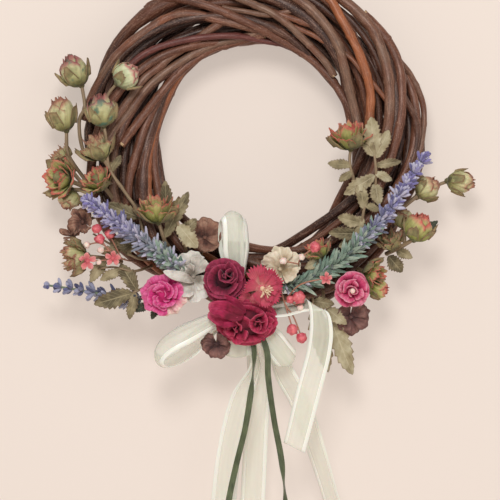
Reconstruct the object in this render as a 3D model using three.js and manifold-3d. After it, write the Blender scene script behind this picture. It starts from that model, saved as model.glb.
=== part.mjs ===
// A lavender wreath: a ring wound from willow rods, with cloth flowers, lavender and ribbon at its foot.
// Millimetres, Z up. It hangs in the XZ plane with its front towards -Y, and the origin is the point
// at the top of the ring's hole where a nail holds it.
import * as THREE from 'three';
import Module from 'manifold-3d';
import { mergeVertices } from 'three/addons/utils/BufferGeometryUtils.js';
import { LoftGeometry } from 'three/addons/geometries/LoftGeometry.js';

const wasm = await Module();
wasm.setup();

// Driving sizes.
const GAP = 0.3;
const RING_RADIUS = 135;
const RING_DROP = 98.2;
const BLADE = 1.2;
const RIBBON_WIDTH = 25;
const RIBBON_THICK = 0.8;
const SATIN_WIDTH = 6;
const SATIN_THICK = 1.2;
const LOOP_ROUND = 0.18;

// A place is given as seen from the front: across and down in a view 500 wide and 500 high, at one
// unit to the millimetre, and out towards the viewer from the middle plane of the ring.
const NAIL_ACROSS = 254;
const NAIL_DOWN = 45;

// The three layers of the ring. A layer is one line that winds round the bundle `twists` times while
// it goes round the ring `slots` times. `rods` cuts it into rods: the turn where each starts, the turn
// where it ends, how much thicker it is than its layer, and its colour.
const LAYERS = [
  {
    name: 'rod_outer', wide: 32, deep: 23.4, slots: 7, twists: 10, start: 268.7, lean: 0.25,
    butt: 5.3, tip: 4, sides: 5, wander: 0.022, bulge: 4,
    rods: [
      [0, 1.62, 0, 0x6b4238],
      [1.68, 2.88, 0, 0x8a5232],
      [2.93, 4.6, 0, 0x6a4a44],
      [4.65, 5.9, 0, 0x7a4a3c],
      [5.95, 6.7, 1.6, 0x5f4640],
    ],
  },
  {
    name: 'rod_inner', wide: 21.6, deep: 13, slots: 9, twists: 13, start: 295.6, lean: 0.08,
    butt: 4.5, tip: 3.7, sides: 5, wander: 0.008, bulge: 0,
    rods: [
      [0, 1.6, 0, 0x5c3a34],
      [1.65, 2.6, 1, 0x74452f],
      [2.65, 3.75, 0, 0x593c3a],
      [3.8, 4.6, 0.6, 0x6a3a34],
      [4.65, 5.8, 0, 0x7c4a34],
      [5.85, 7.6, 0, 0x4f3834],
      [7.65, 8.95, 0, 0x653f3a],
    ],
  },
  {
    name: 'rod_core', wide: 11, deep: 4, slots: 2, twists: 3, start: 200, lean: 0,
    butt: 3.5, tip: 3.2, sides: 3, wander: 0, bulge: 0,
    rods: [[0, 1.95, 0, 0x4a302c]],
  },
];
const STATIONS_PER_TURN = 20;

// The bare stem of the lavender, and the flocked core of its spike between the buds.
const LAVENDER_STEM = 1.7;
const LAVENDER_CORE = 4.2;

const wreath = new THREE.Group();
const placed = [];
let seed = 7;

// A repeatable random number from -1 to 1.
function chance() {
  seed = (seed * 1664525 + 1013904223) % 4294967296;
  return (seed / 4294967296) * 2 - 1;
}

function at([across, down, out]) {
  return new THREE.Vector3(across - NAIL_ACROSS, -out, NAIL_DOWN - down);
}

// Solids

// A closed geometry as a solid, with the triangles that collapse where points meet left out.
function solidOf(geometry) {
  const bare = new THREE.BufferGeometry();
  bare.setAttribute('position', geometry.getAttribute('position'));
  bare.setIndex(geometry.index);
  const merged = mergeVertices(bare, 1e-3);
  const corners = merged.index.array;
  const triangles = [];
  for (let i = 0; i < corners.length; i += 3) {
    const [a, b, c] = corners.slice(i, i + 3);
    if (a !== b && b !== c && c !== a) triangles.push(a, b, c);
  }
  return new wasm.Manifold(new wasm.Mesh({
    numProp: 3,
    vertProperties: new Float32Array(merged.attributes.position.array),
    triVerts: new Uint32Array(triangles),
  }));
}

function join(solids) {
  return solids.reduce((whole, next) => whole.add(next));
}

// The solid moved out along its own normals, used to cut its neighbours clear of it.
function grown(solid, distance) {
  const mesh = solid.getMesh();
  const geometry = new THREE.BufferGeometry();
  geometry.setAttribute('position', new THREE.BufferAttribute(Float32Array.from(mesh.vertProperties), 3));
  geometry.setIndex(new THREE.BufferAttribute(Uint32Array.from(mesh.triVerts), 1));
  geometry.computeVertexNormals();
  const points = geometry.attributes.position;
  const normals = geometry.attributes.normal;
  for (let i = 0; i < points.count; i++) {
    points.setXYZ(
      i,
      points.getX(i) + distance * normals.getX(i),
      points.getY(i) + distance * normals.getY(i),
      points.getZ(i) + distance * normals.getZ(i),
    );
  }
  return new wasm.Manifold(new wasm.Mesh({
    numProp: 3,
    vertProperties: points.array,
    triVerts: mesh.triVerts,
  }));
}

function boxesMeet(a, b) {
  return [0, 1, 2].every((k) => a.min[k] < b.max[k] && b.min[k] < a.max[k]);
}

// Adds a node, cut clear of the pieces that are placed already.
function place(name, colour, roughness, solid) {
  let rest = solid;
  for (const other of placed) {
    if (boxesMeet(rest.boundingBox(), other.cutter.boundingBox())) rest = rest.subtract(other.cutter);
  }
  const bodies = rest.decompose().sort((a, b) => b.volume() - a.volume());
  const body = bodies[0];
  placed.push({ name, cutter: grown(body, GAP + 0.05) });
  addMesh(name, colour, roughness, body);
}

function addMesh(name, colour, roughness, body) {
  const mesh = body.getMesh();
  const geometry = new THREE.BufferGeometry();
  geometry.setAttribute('position', new THREE.BufferAttribute(mesh.vertProperties, 3));
  geometry.setIndex(new THREE.BufferAttribute(mesh.triVerts, 1));
  geometry.computeVertexNormals();
  const material = new THREE.MeshStandardMaterial({ color: colour, roughness, metalness: 0 });
  const node = new THREE.Mesh(geometry, material);
  node.name = name;
  wreath.add(node);
}

function circle(centre, normal, binormal, radius, sides) {
  return Array.from({ length: sides }, (_, j) => {
    const angle = (2 * Math.PI * j) / sides;
    return centre.clone()
      .addScaledVector(normal, radius * Math.cos(angle))
      .addScaledVector(binormal, radius * Math.sin(angle));
  });
}

// A round stem along the given places, thinning from its start to its end.
function stem(places, startRadius = 1.6, endRadius = 1.2, samples = 5, sides = 3) {
  const curve = new THREE.CatmullRomCurve3(places.map(at), false, 'centripetal');
  const frames = curve.computeFrenetFrames(samples);
  const sections = frames.tangents.map((_, i) => {
    const radius = THREE.MathUtils.lerp(startRadius, endRadius, i / samples);
    return circle(curve.getPointAt(i / samples), frames.normals[i], frames.binormals[i], radius, sides);
  });
  return solidOf(new LoftGeometry(sections, { capStart: true, capEnd: true }));
}

// A pointed grain from base to tip, widest at `belly` of its length.
function grain(base, tip, radius, sides = 3, belly = 0.6) {
  const axis = tip.clone().sub(base).normalize();
  const normal = new THREE.Vector3(0, -1, 0.3).cross(axis).normalize();
  const binormal = axis.clone().cross(normal);
  const sections = [[base, 0], [base.clone().lerp(tip, belly), radius], [tip, 0]]
    .map(([centre, size]) => circle(centre, normal, binormal, size, sides));
  return solidOf(new LoftGeometry(sections));
}

function normalAt(grid, i, j) {
  const up = grid[Math.min(i + 1, grid.length - 1)][j].clone().sub(grid[Math.max(i - 1, 0)][j]);
  const across = grid[i][Math.min(j + 1, grid[i].length - 1)].clone().sub(grid[i][Math.max(j - 1, 0)]);
  return across.cross(up).normalize();
}

// A thin blade whose middle surface is a grid of points. Both faces are split alike. The rim is
// sharp, or as thick as `rim`.
function blade(grid, thick = BLADE, rim = 0) {
  const rows = grid.length - 1;
  const columns = grid[0].length - 1;
  const face = (sign) => grid.map((row, i) => row.map((point, j) => {
    const onRim = i === 0 || i === rows || j === 0 || j === columns;
    const size = onRim ? rim : thick;
    return size === 0 ? point.clone() : point.clone().addScaledVector(normalAt(grid, i, j),
      (sign * size) / 2);
  }));
  const front = new LoftGeometry(face(1), { closed: false });
  const back = new LoftGeometry(face(-1), { closed: false });
  const count = front.attributes.position.count;
  const points = [...front.attributes.position.array, ...back.attributes.position.array];
  const triangles = [...front.index.array];
  for (let i = 0; i < back.index.count; i += 3) {
    triangles.push(...[2, 1, 0].map((k) => count + back.index.getX(i + k)));
  }
  if (rim > 0) {
    const loop = [];
    for (let j = 0; j < columns; j++) loop.push(j);
    for (let i = 0; i < rows; i++) loop.push(i * (columns + 1) + columns);
    for (let j = columns; j > 0; j--) loop.push(rows * (columns + 1) + j);
    for (let i = rows; i > 0; i--) loop.push(i * (columns + 1));
    loop.forEach((p, k) => {
      const q = loop[(k + 1) % loop.length];
      triangles.push(q, p, count + p, q, count + p, count + q);
    });
  }
  const geometry = new THREE.BufferGeometry();
  geometry.setAttribute('position', new THREE.Float32BufferAttribute(points, 3));
  geometry.setIndex(triangles);
  return solidOf(geometry);
}

// A leaf with a toothed edge, folded along its rib and arched towards the viewer.
function leaf({ base, tip, width, arch = 0.12, fold = 0.3, wave = 0.1, rows = 5, lean = 0 }) {
  const from = at(base);
  const along = at(tip).sub(from);
  const length = along.length();
  const reach = along.clone().normalize();
  const front = new THREE.Vector3(0, -1, 0).addScaledVector(reach, reach.y).normalize();
  front.applyAxisAngle(reach, lean);
  const side = reach.clone().cross(front);
  const grid = [];
  for (let i = 0; i <= rows; i++) {
    const v = i / rows;
    const tooth = i % 2 ? 1.1 : 0.9;
    const half = i === 0 || i === rows ? 0 : (width / 2) * tooth * Math.sin(Math.PI * v ** 0.85) ** 0.7;
    grid.push([-1, 0, 1].map((u) => from.clone()
      .addScaledVector(along, v)
      .addScaledVector(front, length * arch * Math.sin(Math.PI * v))
      .addScaledVector(front, half * (fold * Math.abs(u) + wave * u * Math.sin(7 * v)))
      .addScaledVector(side, half * u)));
  }
  return blade(grid);
}

// The placement of a bloom: its centre, and the way that it faces as [across, down, out].
function facing(centre, toward, spin = 0) {
  const up = new THREE.Vector3(toward[0], -toward[2], -toward[1]).normalize();
  const right = new THREE.Vector3(0, 0, 1).cross(up).normalize();
  const over = up.clone().cross(right);
  return new THREE.Matrix4()
    .makeBasis(right, over, up)
    .multiply(new THREE.Matrix4().makeRotationZ(spin))
    .setPosition(at(centre));
}

// One cupped petal round the axis of its bloom.
function petal(frame, shape) {
  const {
    angle, spread, inner, outer, low = 0, rise = 0, flare = 1, curl = 0, drift = 0, round = 0.25,
    fringe = 0, rows = 3, columns = 3,
  } = shape;
  const grid = [];
  for (let i = 0; i <= rows; i++) {
    const row = [];
    for (let j = 0; j <= columns; j++) {
      const u = (2 * j) / columns - 1;
      const notch = i === rows && j % 2 ? fringe : 0;
      const reach = (i / rows) * (1 - round * u * u - notch);
      const radius = inner + (outer - inner) * reach ** flare + drift * u;
      const height = low + rise * reach - curl * reach ** 3;
      const turn = angle + spread * u;
      row.push(new THREE.Vector3(radius * Math.cos(turn), radius * Math.sin(turn),
        height).applyMatrix4(frame));
    }
    grid.push(row);
  }
  return blade(grid);
}

// The petals of a bloom, ring by ring. Each petal drifts outwards along its width, so that it passes
// outside the next one.
function petals(frame, rings) {
  return rings.flatMap(({ count, turn = 0, ...shape }) => Array.from({ length: count }, (_, k) => {
    const angle = turn + (2 * Math.PI * k) / count;
    return petal(frame, { ...shape, angle, outer: shape.outer * (1 + 0.06 * chance()) });
  }));
}

function heart(frame, radius, height, squash = 1) {
  const geometry = new THREE.IcosahedronGeometry(radius, 0);
  geometry.scale(1, 1, squash);
  geometry.translate(0, 0, height);
  geometry.applyMatrix4(frame);
  return solidOf(geometry);
}

// The skin of a rose bud, from its calyx out over two layers of petals and in to the heart. Each row
// is [height, radius] on a petal of the outer layer, then on one of the inner layer between them.
const BUD_CALYX = 3.2;
const BUD_ROWS = [
  [[0.22, 0.88], [0.24, 0.74]],
  [[0.6, 1], [0.58, 0.8]],
  [[0.92, 'open'], [0.64, 0.6]],
  [[0.64, 0.42], [1, 0.4]],
  [[0.88, 0.14], [0.88, 0.14]],
];

function budSkin(base, tip, radius, petalCount, open, spin) {
  const axis = tip.clone().sub(base);
  const along = axis.clone().normalize();
  const normal = new THREE.Vector3(0, -1, 0.2).cross(along).normalize();
  const binormal = along.clone().cross(normal);
  const sides = 2 * petalCount;
  const section = (spots) => Array.from({ length: sides }, (_, j) => {
    const [height, size] = spots[j % 2];
    const angle = spin + 0.7 * height + (2 * Math.PI * j) / sides;
    const reach = size === 'open' ? radius * open * (1 + 0.1 * chance()) : radius * size;
    return base.clone()
      .addScaledVector(axis, height)
      .addScaledVector(normal, reach * Math.cos(angle))
      .addScaledVector(binormal, reach * Math.sin(angle));
  });
  const calyx = [0, BUD_CALYX / radius];
  const sections = [[calyx, calyx], ...BUD_ROWS].map(section);
  return solidOf(new LoftGeometry(sections, { capStart: true, capEnd: true }));
}

// A bud on the end of a stem, and its sepals.
function bud({ base, tip, radius, petalCount = 3, open = 0.55, sepals = 2, spin = 0 }) {
  const foot = at(base);
  const top = at(tip);
  const toward = [tip[0] - base[0], tip[1] - base[1], tip[2] - base[2]];
  const pieces = [budSkin(foot, top, radius, petalCount, open, spin)];
  if (sepals) {
    pieces.push(...petals(facing(base, toward, spin), [{
      count: sepals, turn: 0.6, spread: 0.26, inner: 2.3, outer: radius * 1.55, low: 0.6,
      rise: foot.distanceTo(top) * 0.36, flare: 0.6, curl: -2, round: 0.75, rows: 2, columns: 2,
    }]));
  }
  return pieces;
}

function rose({ centre, toward, size, rings, spin = 0, root }) {
  const frame = facing(centre, toward, spin);
  const solids = petals(frame, rings);
  solids.push(heart(frame, size * 0.42, size * 0.2, 0.8));
  solids.push(stem([root, centre, [centre[0], centre[1], centre[2] + 2]], 2, 2.6, 2, 5));
  return join(solids);
}

// A flat strip of ribbon between two edges. Each row is [left across, left down, right across,
// right down, out, turn]. Where the edges look closer than the ribbon is wide, it is turned out of
// the view's plane by the rest, to the side that `turn` gives.
function ribbon(rows, samples, thick = RIBBON_THICK, width = RIBBON_WIDTH) {
  const edges = [[], []];
  for (const [leftAcross, leftDown, rightAcross, rightDown, out, turn] of rows) {
    const seen = Math.hypot(rightAcross - leftAcross, rightDown - leftDown);
    const hidden = (turn * Math.sqrt(Math.max(0, width ** 2 - seen ** 2))) / 2;
    edges[0].push(at([leftAcross, leftDown, out - hidden]));
    edges[1].push(at([rightAcross, rightDown, out + hidden]));
  }
  const [left, right] = edges.map((points) => new THREE.CatmullRomCurve3(points, false, 'centripetal'));
  const grid = [];
  for (let i = 0; i <= samples; i++) grid.push([left.getPoint(i / samples), right.getPoint(i / samples)]);
  return blade(grid, thick, thick);
}

// Ring of rods

function rodPlace(layer, turns, wander, bulge) {
  const around = THREE.MathUtils.degToRad(layer.start) + 2 * Math.PI * turns;
  const section = new THREE.EllipseCurve(0, 0, layer.wide, layer.deep);
  const share = layer.lean + (turns * layer.twists) / layer.slots + wander(turns);
  const spot = section.getPointAt(THREE.MathUtils.euclideanModulo(share, 1));
  const swell = 1 + bulge(turns) / spot.length();
  const outward = spot.x * swell + 1.5 * Math.sin(2 * around + 1) + Math.sin(5 * around);
  const forward = spot.y * swell + 1.2 * Math.sin(3 * around);
  const radius = RING_RADIUS + outward;
  return new THREE.Vector3(radius * Math.sin(around), -forward, radius * Math.cos(around) - RING_DROP);
}

// One rod: sections at the same stations round the ring as every other rod, so that flats face flats.
function rod(layer, [first, last, thicker]) {
  const phase = Math.PI * chance();
  const wander = (turns) => layer.wander * Math.sin(5 * turns + phase);
  const bulge = (turns) => layer.bulge * Math.max(0, Math.sin(4.4 * turns + 2 * phase)) ** 2;
  const offset = layer.start / 360;
  const stations = [first];
  for (let k = Math.ceil((first + offset) * STATIONS_PER_TURN + 0.3); ; k++) {
    const turns = k / STATIONS_PER_TURN - offset;
    if (turns > last - 0.3 / STATIONS_PER_TURN) break;
    stations.push(turns);
  }
  stations.push(last);
  const sections = stations.map((turns) => {
    const centre = rodPlace(layer, turns, wander, bulge);
    const ahead = rodPlace(layer, turns + 1e-3, wander, bulge);
    const behind = rodPlace(layer, turns - 1e-3, wander, bulge);
    const tangent = ahead.sub(behind).normalize();
    const around = THREE.MathUtils.degToRad(layer.start) + 2 * Math.PI * turns;
    const heartLine = new THREE.Vector3(
      RING_RADIUS * Math.sin(around),
      0,
      RING_RADIUS * Math.cos(around) - RING_DROP,
    );
    const normal = centre.clone().sub(heartLine);
    normal.addScaledVector(tangent, -normal.dot(tangent)).normalize();
    const binormal = tangent.clone().cross(normal);
    const share = (turns - first) / (last - first);
    const radius = thicker + THREE.MathUtils.lerp(layer.butt, layer.tip, share);
    return circle(centre, normal, binormal, radius, layer.sides);
  });
  return solidOf(new LoftGeometry(sections, { capStart: true, capEnd: true }));
}

for (const layer of LAYERS) {
  layer.rods.forEach((span, k) => {
    const body = rod(layer, span);
    placed.push({ name: `${layer.name}_${k + 1}`, cutter: grown(body, GAP + 0.05) });
    addMesh(`${layer.name}_${k + 1}`, span[3], 0.8, body);
  });
}

// Cloth flowers

const WINE = 0x8a1538;
const PLUM = 0x5a1230;
const CRIMSON = 0xb82646;
const CREAM = 0xefe2c4;

place('stamens_crimson', CREAM, 0.8, (() => {
  const frame = facing([262, 288, 52], [0.25, 0.1, 1]);
  const heads = Array.from({ length: 8 }, (_, k) => {
    const angle = 2.4 * k;
    const reach = 2.5 + 0.55 * k;
    const tip = new THREE.Vector3(reach * Math.cos(angle), reach * Math.sin(angle), 15 - 0.5 * k);
    return grain(new THREE.Vector3(0, 0, 1).applyMatrix4(frame), tip.applyMatrix4(frame), 1.1, 3, 0.8);
  });
  return join([heart(frame, 3, 1.5), ...heads]);
})());

place('rose_burgundy_upper', PLUM, 0.75, rose({
  centre: [225, 281, 40], toward: [-0.12, -0.18, 1], size: 22, root: [224, 268, 10],
  rings: [
    { count: 3, turn: 0.3, spread: 1.15, inner: 1.5, outer: 4.5, low: 4, rise: 18, flare: 1, drift: 0.7,
      rows: 2, columns: 2 },
    { count: 4, turn: 1.1, spread: 0.95, inner: 3, outer: 10, low: 3, rise: 17, flare: 0.8, drift: 1.1,
      rows: 2 },
    { count: 5, turn: 0.5, spread: 0.8, inner: 4.5, outer: 16, low: 2, rise: 15, flare: 0.7, curl: 2,
      drift: 1.3, rows: 2 },
    { count: 5, turn: 0.1, spread: 0.8, inner: 5.5, outer: 22, low: 1, rise: 11, flare: 0.7, curl: 5,
      drift: 1.4, rows: 2 },
  ],
}));

place('rose_burgundy_lower', WINE, 0.75, (() => {
  const left = facing([235, 324, 40], [-0.2, 0.2, 1], 0.8);
  const right = facing([257, 318, 40], [0.25, 0.15, 1], 0.2);
  const solids = [
    ...petals(left, [
      { count: 3, turn: 0.2, spread: 1.1, inner: 1.5, outer: 4.5, low: 4, rise: 15, drift: 0.6, rows: 2,
        columns: 2 },
      { count: 3, turn: 2.2, spread: 0.9, inner: 3.5, outer: 9, low: 3, rise: 15, flare: 0.8, drift: 1,
        rows: 2, columns: 2 },
    ]),
    ...petals(right, [
      { count: 3, turn: 0.2, spread: 1.1, inner: 1.5, outer: 4.5, low: 4, rise: 17, drift: 0.6, rows: 2,
        columns: 2 },
      { count: 3, turn: 1.2, spread: 0.95, inner: 3.5, outer: 10, low: 3, rise: 16, flare: 0.8,
        drift: 1.1, rows: 2 },
    ]),
  ];
  const whole = facing([246, 321, 36], [0, 0.15, 1]);
  whole.multiply(new THREE.Matrix4().makeScale(1.35, 1, 1));
  solids.push(...petals(whole, [
    { count: 4, turn: 0.3, spread: 0.85, inner: 8, outer: 18, low: 2, rise: 15, flare: 0.7, curl: 2,
      drift: 1.2, rows: 2 },
    { count: 6, turn: 0.8, spread: 0.6, inner: 9, outer: 22.5, low: 0, rise: 10, flare: 0.7, curl: 4,
      drift: 1.2, rows: 2 },
  ]));
  solids.push(heart(whole, 13, 5, 0.7));
  solids.push(heart(right, 6, 4));
  solids.push(leaf({ base: [240, 318, 52], tip: [208, 306, 50], width: 20, arch: 0.25, fold: 0.5,
    wave: 0.2, rows: 4 }));
  solids.push(leaf({ base: [240, 322, 46], tip: [208, 314, 44], width: 18, arch: 0.3, fold: 0.5,
    wave: -0.2, rows: 4 }));
  solids.push(stem([[244, 296, 8], [246, 312, 26], [246, 320, 36]], 2.2, 2.8, 3, 5));
  return join(solids);
})());

place('flower_crimson', CRIMSON, 0.75, (() => {
  const frame = facing([262, 288, 50], [0.25, 0.1, 1]);
  const under = facing([256, 298, 44], [-0.1, 0.5, 1]);
  const solids = [
    ...petals(frame, [
      { count: 6, turn: 0.25, spread: 0.58, inner: 5, outer: 24, low: 0, rise: 9, flare: 0.85, curl: 1,
        drift: 1.2, round: 0.08, fringe: 0.12, rows: 2, columns: 4 },
    ]),
    ...petals(under, [
      { count: 5, turn: 0.6, spread: 0.6, inner: 4, outer: 19, low: 0, rise: 4, flare: 0.9, curl: 2,
        drift: 0.9, round: 0.05, fringe: 0.14, rows: 1, columns: 4 },
    ]),
  ];
  solids.push(heart(frame, 7.5, -2, 0.8), heart(under, 7, 1, 0.8));
  solids.push(stem([[262, 274, 10], [261, 282, 30], [262, 288, 48]], 2, 2.6, 3));
  return join(solids);
})());

place('rose_pink_left', 0xe0358a, 0.75, rose({
  centre: [165, 294, 34], toward: [-0.1, 0.1, 1], size: 20, root: [182, 268, 6],
  rings: [
    { count: 3, turn: 0.3, spread: 1, inner: 1.5, outer: 4.5, low: 3, rise: 12, drift: 0.7, rows: 2,
      columns: 2 },
    { count: 5, turn: 1, spread: 0.7, inner: 3.2, outer: 12, low: 2, rise: 11, flare: 0.8, drift: 0.9,
      rows: 2 },
    { count: 5, turn: 0.2, spread: 0.74, inner: 4.6, outer: 21, low: 1, rise: 8, flare: 0.8, curl: 3,
      drift: 1.2, rows: 2 },
  ],
}));

place('rose_pink_right', 0xd83a86, 0.75, rose({
  centre: [350, 289, 36], toward: [0.1, 0.1, 1], size: 17, root: [336, 270, 8],
  rings: [
    { count: 3, turn: 0.3, spread: 1, inner: 1.5, outer: 4, low: 4, rise: 13, drift: 0.6, rows: 2,
      columns: 2 },
    { count: 4, turn: 1.2, spread: 0.9, inner: 3.5, outer: 9.5, low: 3, rise: 13, flare: 0.8, drift: 1,
      rows: 2 },
    { count: 5, turn: 0.6, spread: 0.78, inner: 4, outer: 17.5, low: 1, rise: 11, flare: 0.6, curl: 4,
      drift: 1.2, rows: 2 },
  ],
}));

// A lavender spike: one body whose skin is drawn out into whorls of buds that lean towards the tip.
// The buds of one whorl stand between those of the last.
function lavender({ places, from = 0, whorls, size, buds = 4 }) {
  const curve = new THREE.CatmullRomCurve3(places.map(at), false, 'centripetal');
  const sides = 2 * buds;
  const sections = [];
  const addSection = (share, whorl) => {
    const centre = curve.getPointAt(share);
    const tangent = curve.getTangentAt(share);
    const normal = new THREE.Vector3(0, -1, 0).cross(tangent).normalize();
    const binormal = tangent.clone().cross(normal);
    const length = size * (0.75 + 0.35 * Math.sin(Math.PI * Math.min(1, share + 0.12)));
    sections.push(Array.from({ length: sides }, (_, j) => {
      const angle = (2 * Math.PI * j) / sides + 0.3;
      const out = normal.clone().multiplyScalar(Math.cos(angle)).addScaledVector(binormal, Math.sin(angle));
      const onBud = whorl !== null && whorl >= 0 && (j + whorl) % 2 === 0;
      const core = whorl === null ? LAVENDER_STEM : LAVENDER_CORE * Math.min(1, (1.25 - share) * 2);
      const reach = onBud ? length * (0.76 + 0.12 * chance()) : core;
      const lean = onBud ? length * (0.6 + 0.12 * chance()) : 0;
      return centre.clone().addScaledVector(out, reach).addScaledVector(tangent, lean);
    }));
  };
  addSection(0, null);
  addSection(from / 2, null);
  for (let k = 0; k < whorls; k++) {
    const share = from + ((0.97 - from) * k) / (whorls - 1);
    const pitch = (0.97 - from) / (whorls - 1);
    addSection(share, k);
    addSection(Math.min(1, share + 0.55 * pitch), k < whorls - 1 ? -1 : null);
  }
  return solidOf(new LoftGeometry(sections, { capStart: true, capEnd: true }));
}

const LAVENDER = 0x6f6cb4;

place('lavender_left_upper', LAVENDER, 0.85, lavender({
  places: [[190, 276, 18], [178, 266, 36], [150, 246, 46], [120, 224, 50], [98, 207, 50], [84, 198, 48]],
  from: 0.16, whorls: 13, size: 15,
}));
place('lavender_left_lower', 0x4c4f86, 0.85, lavender({
  places: [[170, 276, 6], [150, 296, 16], [128, 299, 20], [103, 294, 22], [75, 289, 22], [48, 285, 20]],
  from: 0.28, whorls: 10, size: 12.5,
}));
place('lavender_right', LAVENDER, 0.85, lavender({
  places: [[276, 276, 8], [286, 283, 28], [304, 282, 35], [345, 256, 44], [370, 231, 50], [386, 213, 50],
    [401, 190, 48],
    [417, 166, 44], [428, 152, 40]],
  from: 0.12, whorls: 17, size: 15,
}));
// Rose buds

const BUD = 0x9aa36a;

place('bud_upper_left', BUD, 0.8, join([
  ...bud({ base: [82, 86, 12], tip: [67, 56, 14], radius: 13, spin: 0.4 }),
  stem([[112, 192, 2], [84, 152, 8], [80, 120, 13], [85, 108, 14], [82, 85, 12]], 2, 1.8, 6),
]));
place('bud_round_left', 0xb9c392, 0.8, join([
  ...bud({ base: [118, 85, 38], tip: [138, 69, 44], radius: 13, spin: 1 }),
  stem([[106, 160, 8], [102, 140, 24], [106, 112, 30], [109, 96, 34], [119, 84, 38]], 1.8, 1.6, 6),
]));
place('bud_middle_left', BUD, 0.8, join([
  ...bud({ base: [67, 131, 14], tip: [57, 97, 16], radius: 13, spin: 0.2 }),
  stem([[96, 192, 0], [78, 170, 6], [68, 152, 12], [67, 130, 14]], 2, 1.8, 5),
]));
place('buds_tall_left', BUD, 0.8, join([
  ...bud({ base: [105, 127, 40], tip: [101, 95, 46], radius: 14, spin: 0.9 }),
  ...bud({ base: [104, 160, 36], tip: [93, 134, 42], radius: 16, petalCount: 5, open: 1, sepals: 0,
    spin: 0.2 }),
  stem([[150, 228, 8], [141, 214, 28], [124, 190, 32], [110, 168, 34], [108, 145, 38], [105, 126, 40]],
    1.8, 1.7, 7),
  stem([[111, 170, 34], [104, 159, 36]], 1.8, 2, 1),
  leaf({ base: [112, 172, 33], tip: [122, 156, 34], width: 8, rows: 3 }),
]));
place('bud_cluster_left', BUD, 0.8, join([
  ...bud({ base: [70, 180, 16], tip: [44, 174, 26], radius: 16, petalCount: 5, open: 1, sepals: 0,
    spin: 0.3 }),
  ...bud({ base: [68, 166, 4], tip: [52, 150, 6], radius: 11, petalCount: 4, open: 1, sepals: 0,
    spin: 0.5 }),
  ...bud({ base: [72, 190, 8], tip: [66, 210, 10], radius: 11, spin: 0.1 }),
  stem([[102, 196, 0], [84, 187, 8], [69, 180, 16]], 2.2, 2.4, 3),
  stem([[86, 188, 7], [67, 165, 4]], 2, 2.2, 1),
  stem([[90, 190, 5], [71, 190, 8]], 2, 2.4, 1),
]));
place('bud_small_left', BUD, 0.8, join([
  ...bud({ base: [104, 186, 26], tip: [92, 174, 36], radius: 15, petalCount: 5, open: 1, sepals: 3,
    spin: 0.7 }),
  stem([[116, 204, 6], [110, 194, 18], [103, 185, 27]], 2, 2, 3),
]));
place('bud_open_left', BUD, 0.8, join([
  ...bud({ base: [159, 222, 38], tip: [157, 196, 45], radius: 19, petalCount: 5, open: 1, sepals: 4,
    spin: 0.2 }),
  stem([[174, 252, 10], [165, 240, 32], [159, 221, 38]], 2, 2, 3),
  leaf({ base: [164.6, 238, 32.4], tip: [189, 192, 30], width: 14, arch: 0.06 }),
]));
place('bud_low_left', 0xa89a5e, 0.8, join([
  ...bud({ base: [88, 256, 24], tip: [62, 258, 28], radius: 17, petalCount: 6, open: 1, sepals: 3,
    spin: 0.2 }),
  ...petals(facing([74, 236, 24], [-0.4, -0.8, 0.6]), [
    { count: 4, spread: 0.5, inner: 1, outer: 13, low: 0, rise: 8, round: 0.5, rows: 2, columns: 2 },
  ]),
  stem([[122, 262, 4], [104, 258, 18], [86, 256, 24]], 2.2, 2, 3),
  stem([[90, 256, 24], [80, 247, 24], [74, 235, 24]], 1.8, 1.8, 3),
  leaf({ base: [106, 259, 17], tip: [91, 282, 24], width: 12, arch: 0.2 }),
]));
place('buds_right_edge', 0xa7a272, 0.8, join([
  ...bud({ base: [417, 196, 22], tip: [437, 181, 24], radius: 11.5, spin: 0.4 }),
  ...bud({ base: [447, 181, 8], tip: [475, 184, 8], radius: 11, sepals: 3, spin: 0.6 }),
  stem([[394, 214, 4], [404, 206, 24], [419, 194, 23]], 2.2, 2.2, 3),
  stem([[415, 199, 20], [426, 194, 12], [438, 185, 6], [449, 181, 8]], 1.8, 1.8, 4),
]));
place('buds_right', BUD, 0.8, join([
  ...bud({ base: [413, 240, 26], tip: [422, 214, 34], radius: 14, petalCount: 4, open: 1, sepals: 0,
    spin: 0.4 }),
  ...bud({ base: [404, 228, 14], tip: [402, 208, 16], radius: 9, sepals: 0, spin: 0.2 }),
  leaf({ base: [414, 236, 20], tip: [436, 222, 22], width: 8, rows: 4 }),
  leaf({ base: [412, 238, 18], tip: [436, 230, 16], width: 8, rows: 4 }),
  stem([[386, 254, 4], [400, 247, 18], [413, 239, 27]], 2.2, 2.2, 3),
  ...bud({ base: [391, 249, 18], tip: [387, 229, 26], radius: 12, petalCount: 4, open: 1, sepals: 0,
    spin: 0.4 }),
  leaf({ base: [388, 256, 9], tip: [402, 272, 12], width: 14, arch: 0.1 }),
  stem([[404, 244, 19], [404, 227, 14]], 1.8, 2, 1),
  stem([[392, 251, 8], [391, 248, 19]], 1.8, 2.2, 1),
]));
place('buds_lower_right', BUD, 0.8, join([
  ...bud({ base: [364, 272, 24], tip: [384, 276, 32], radius: 14, petalCount: 5, open: 1, spin: 0.4 }),
  ...bud({ base: [368, 286, 20], tip: [388, 291, 22], radius: 9, sepals: 0, spin: 0.2 }),
  stem([[348, 262, 4], [356, 268, 16], [366, 272, 25]], 2.2, 2, 3),
  stem([[358, 269, 18], [362, 280, 20], [370, 286, 20]], 1.8, 1.8, 3),
]));
place('bud_bow_right', 0x8e8458, 0.8, join([
  ...bud({ base: [322, 258, 36], tip: [311, 239, 38], radius: 12, petalCount: 5, open: 1, sepals: 2,
    spin: 0.6 }),
  stem([[321, 263, 6], [322, 261, 30], [321.5, 257, 37]], 2, 2.2, 3),
]));

// Bead berries, each spray on its own thin stems, some of them opened into a star.
const STAR_THICK = 2.4;

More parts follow.
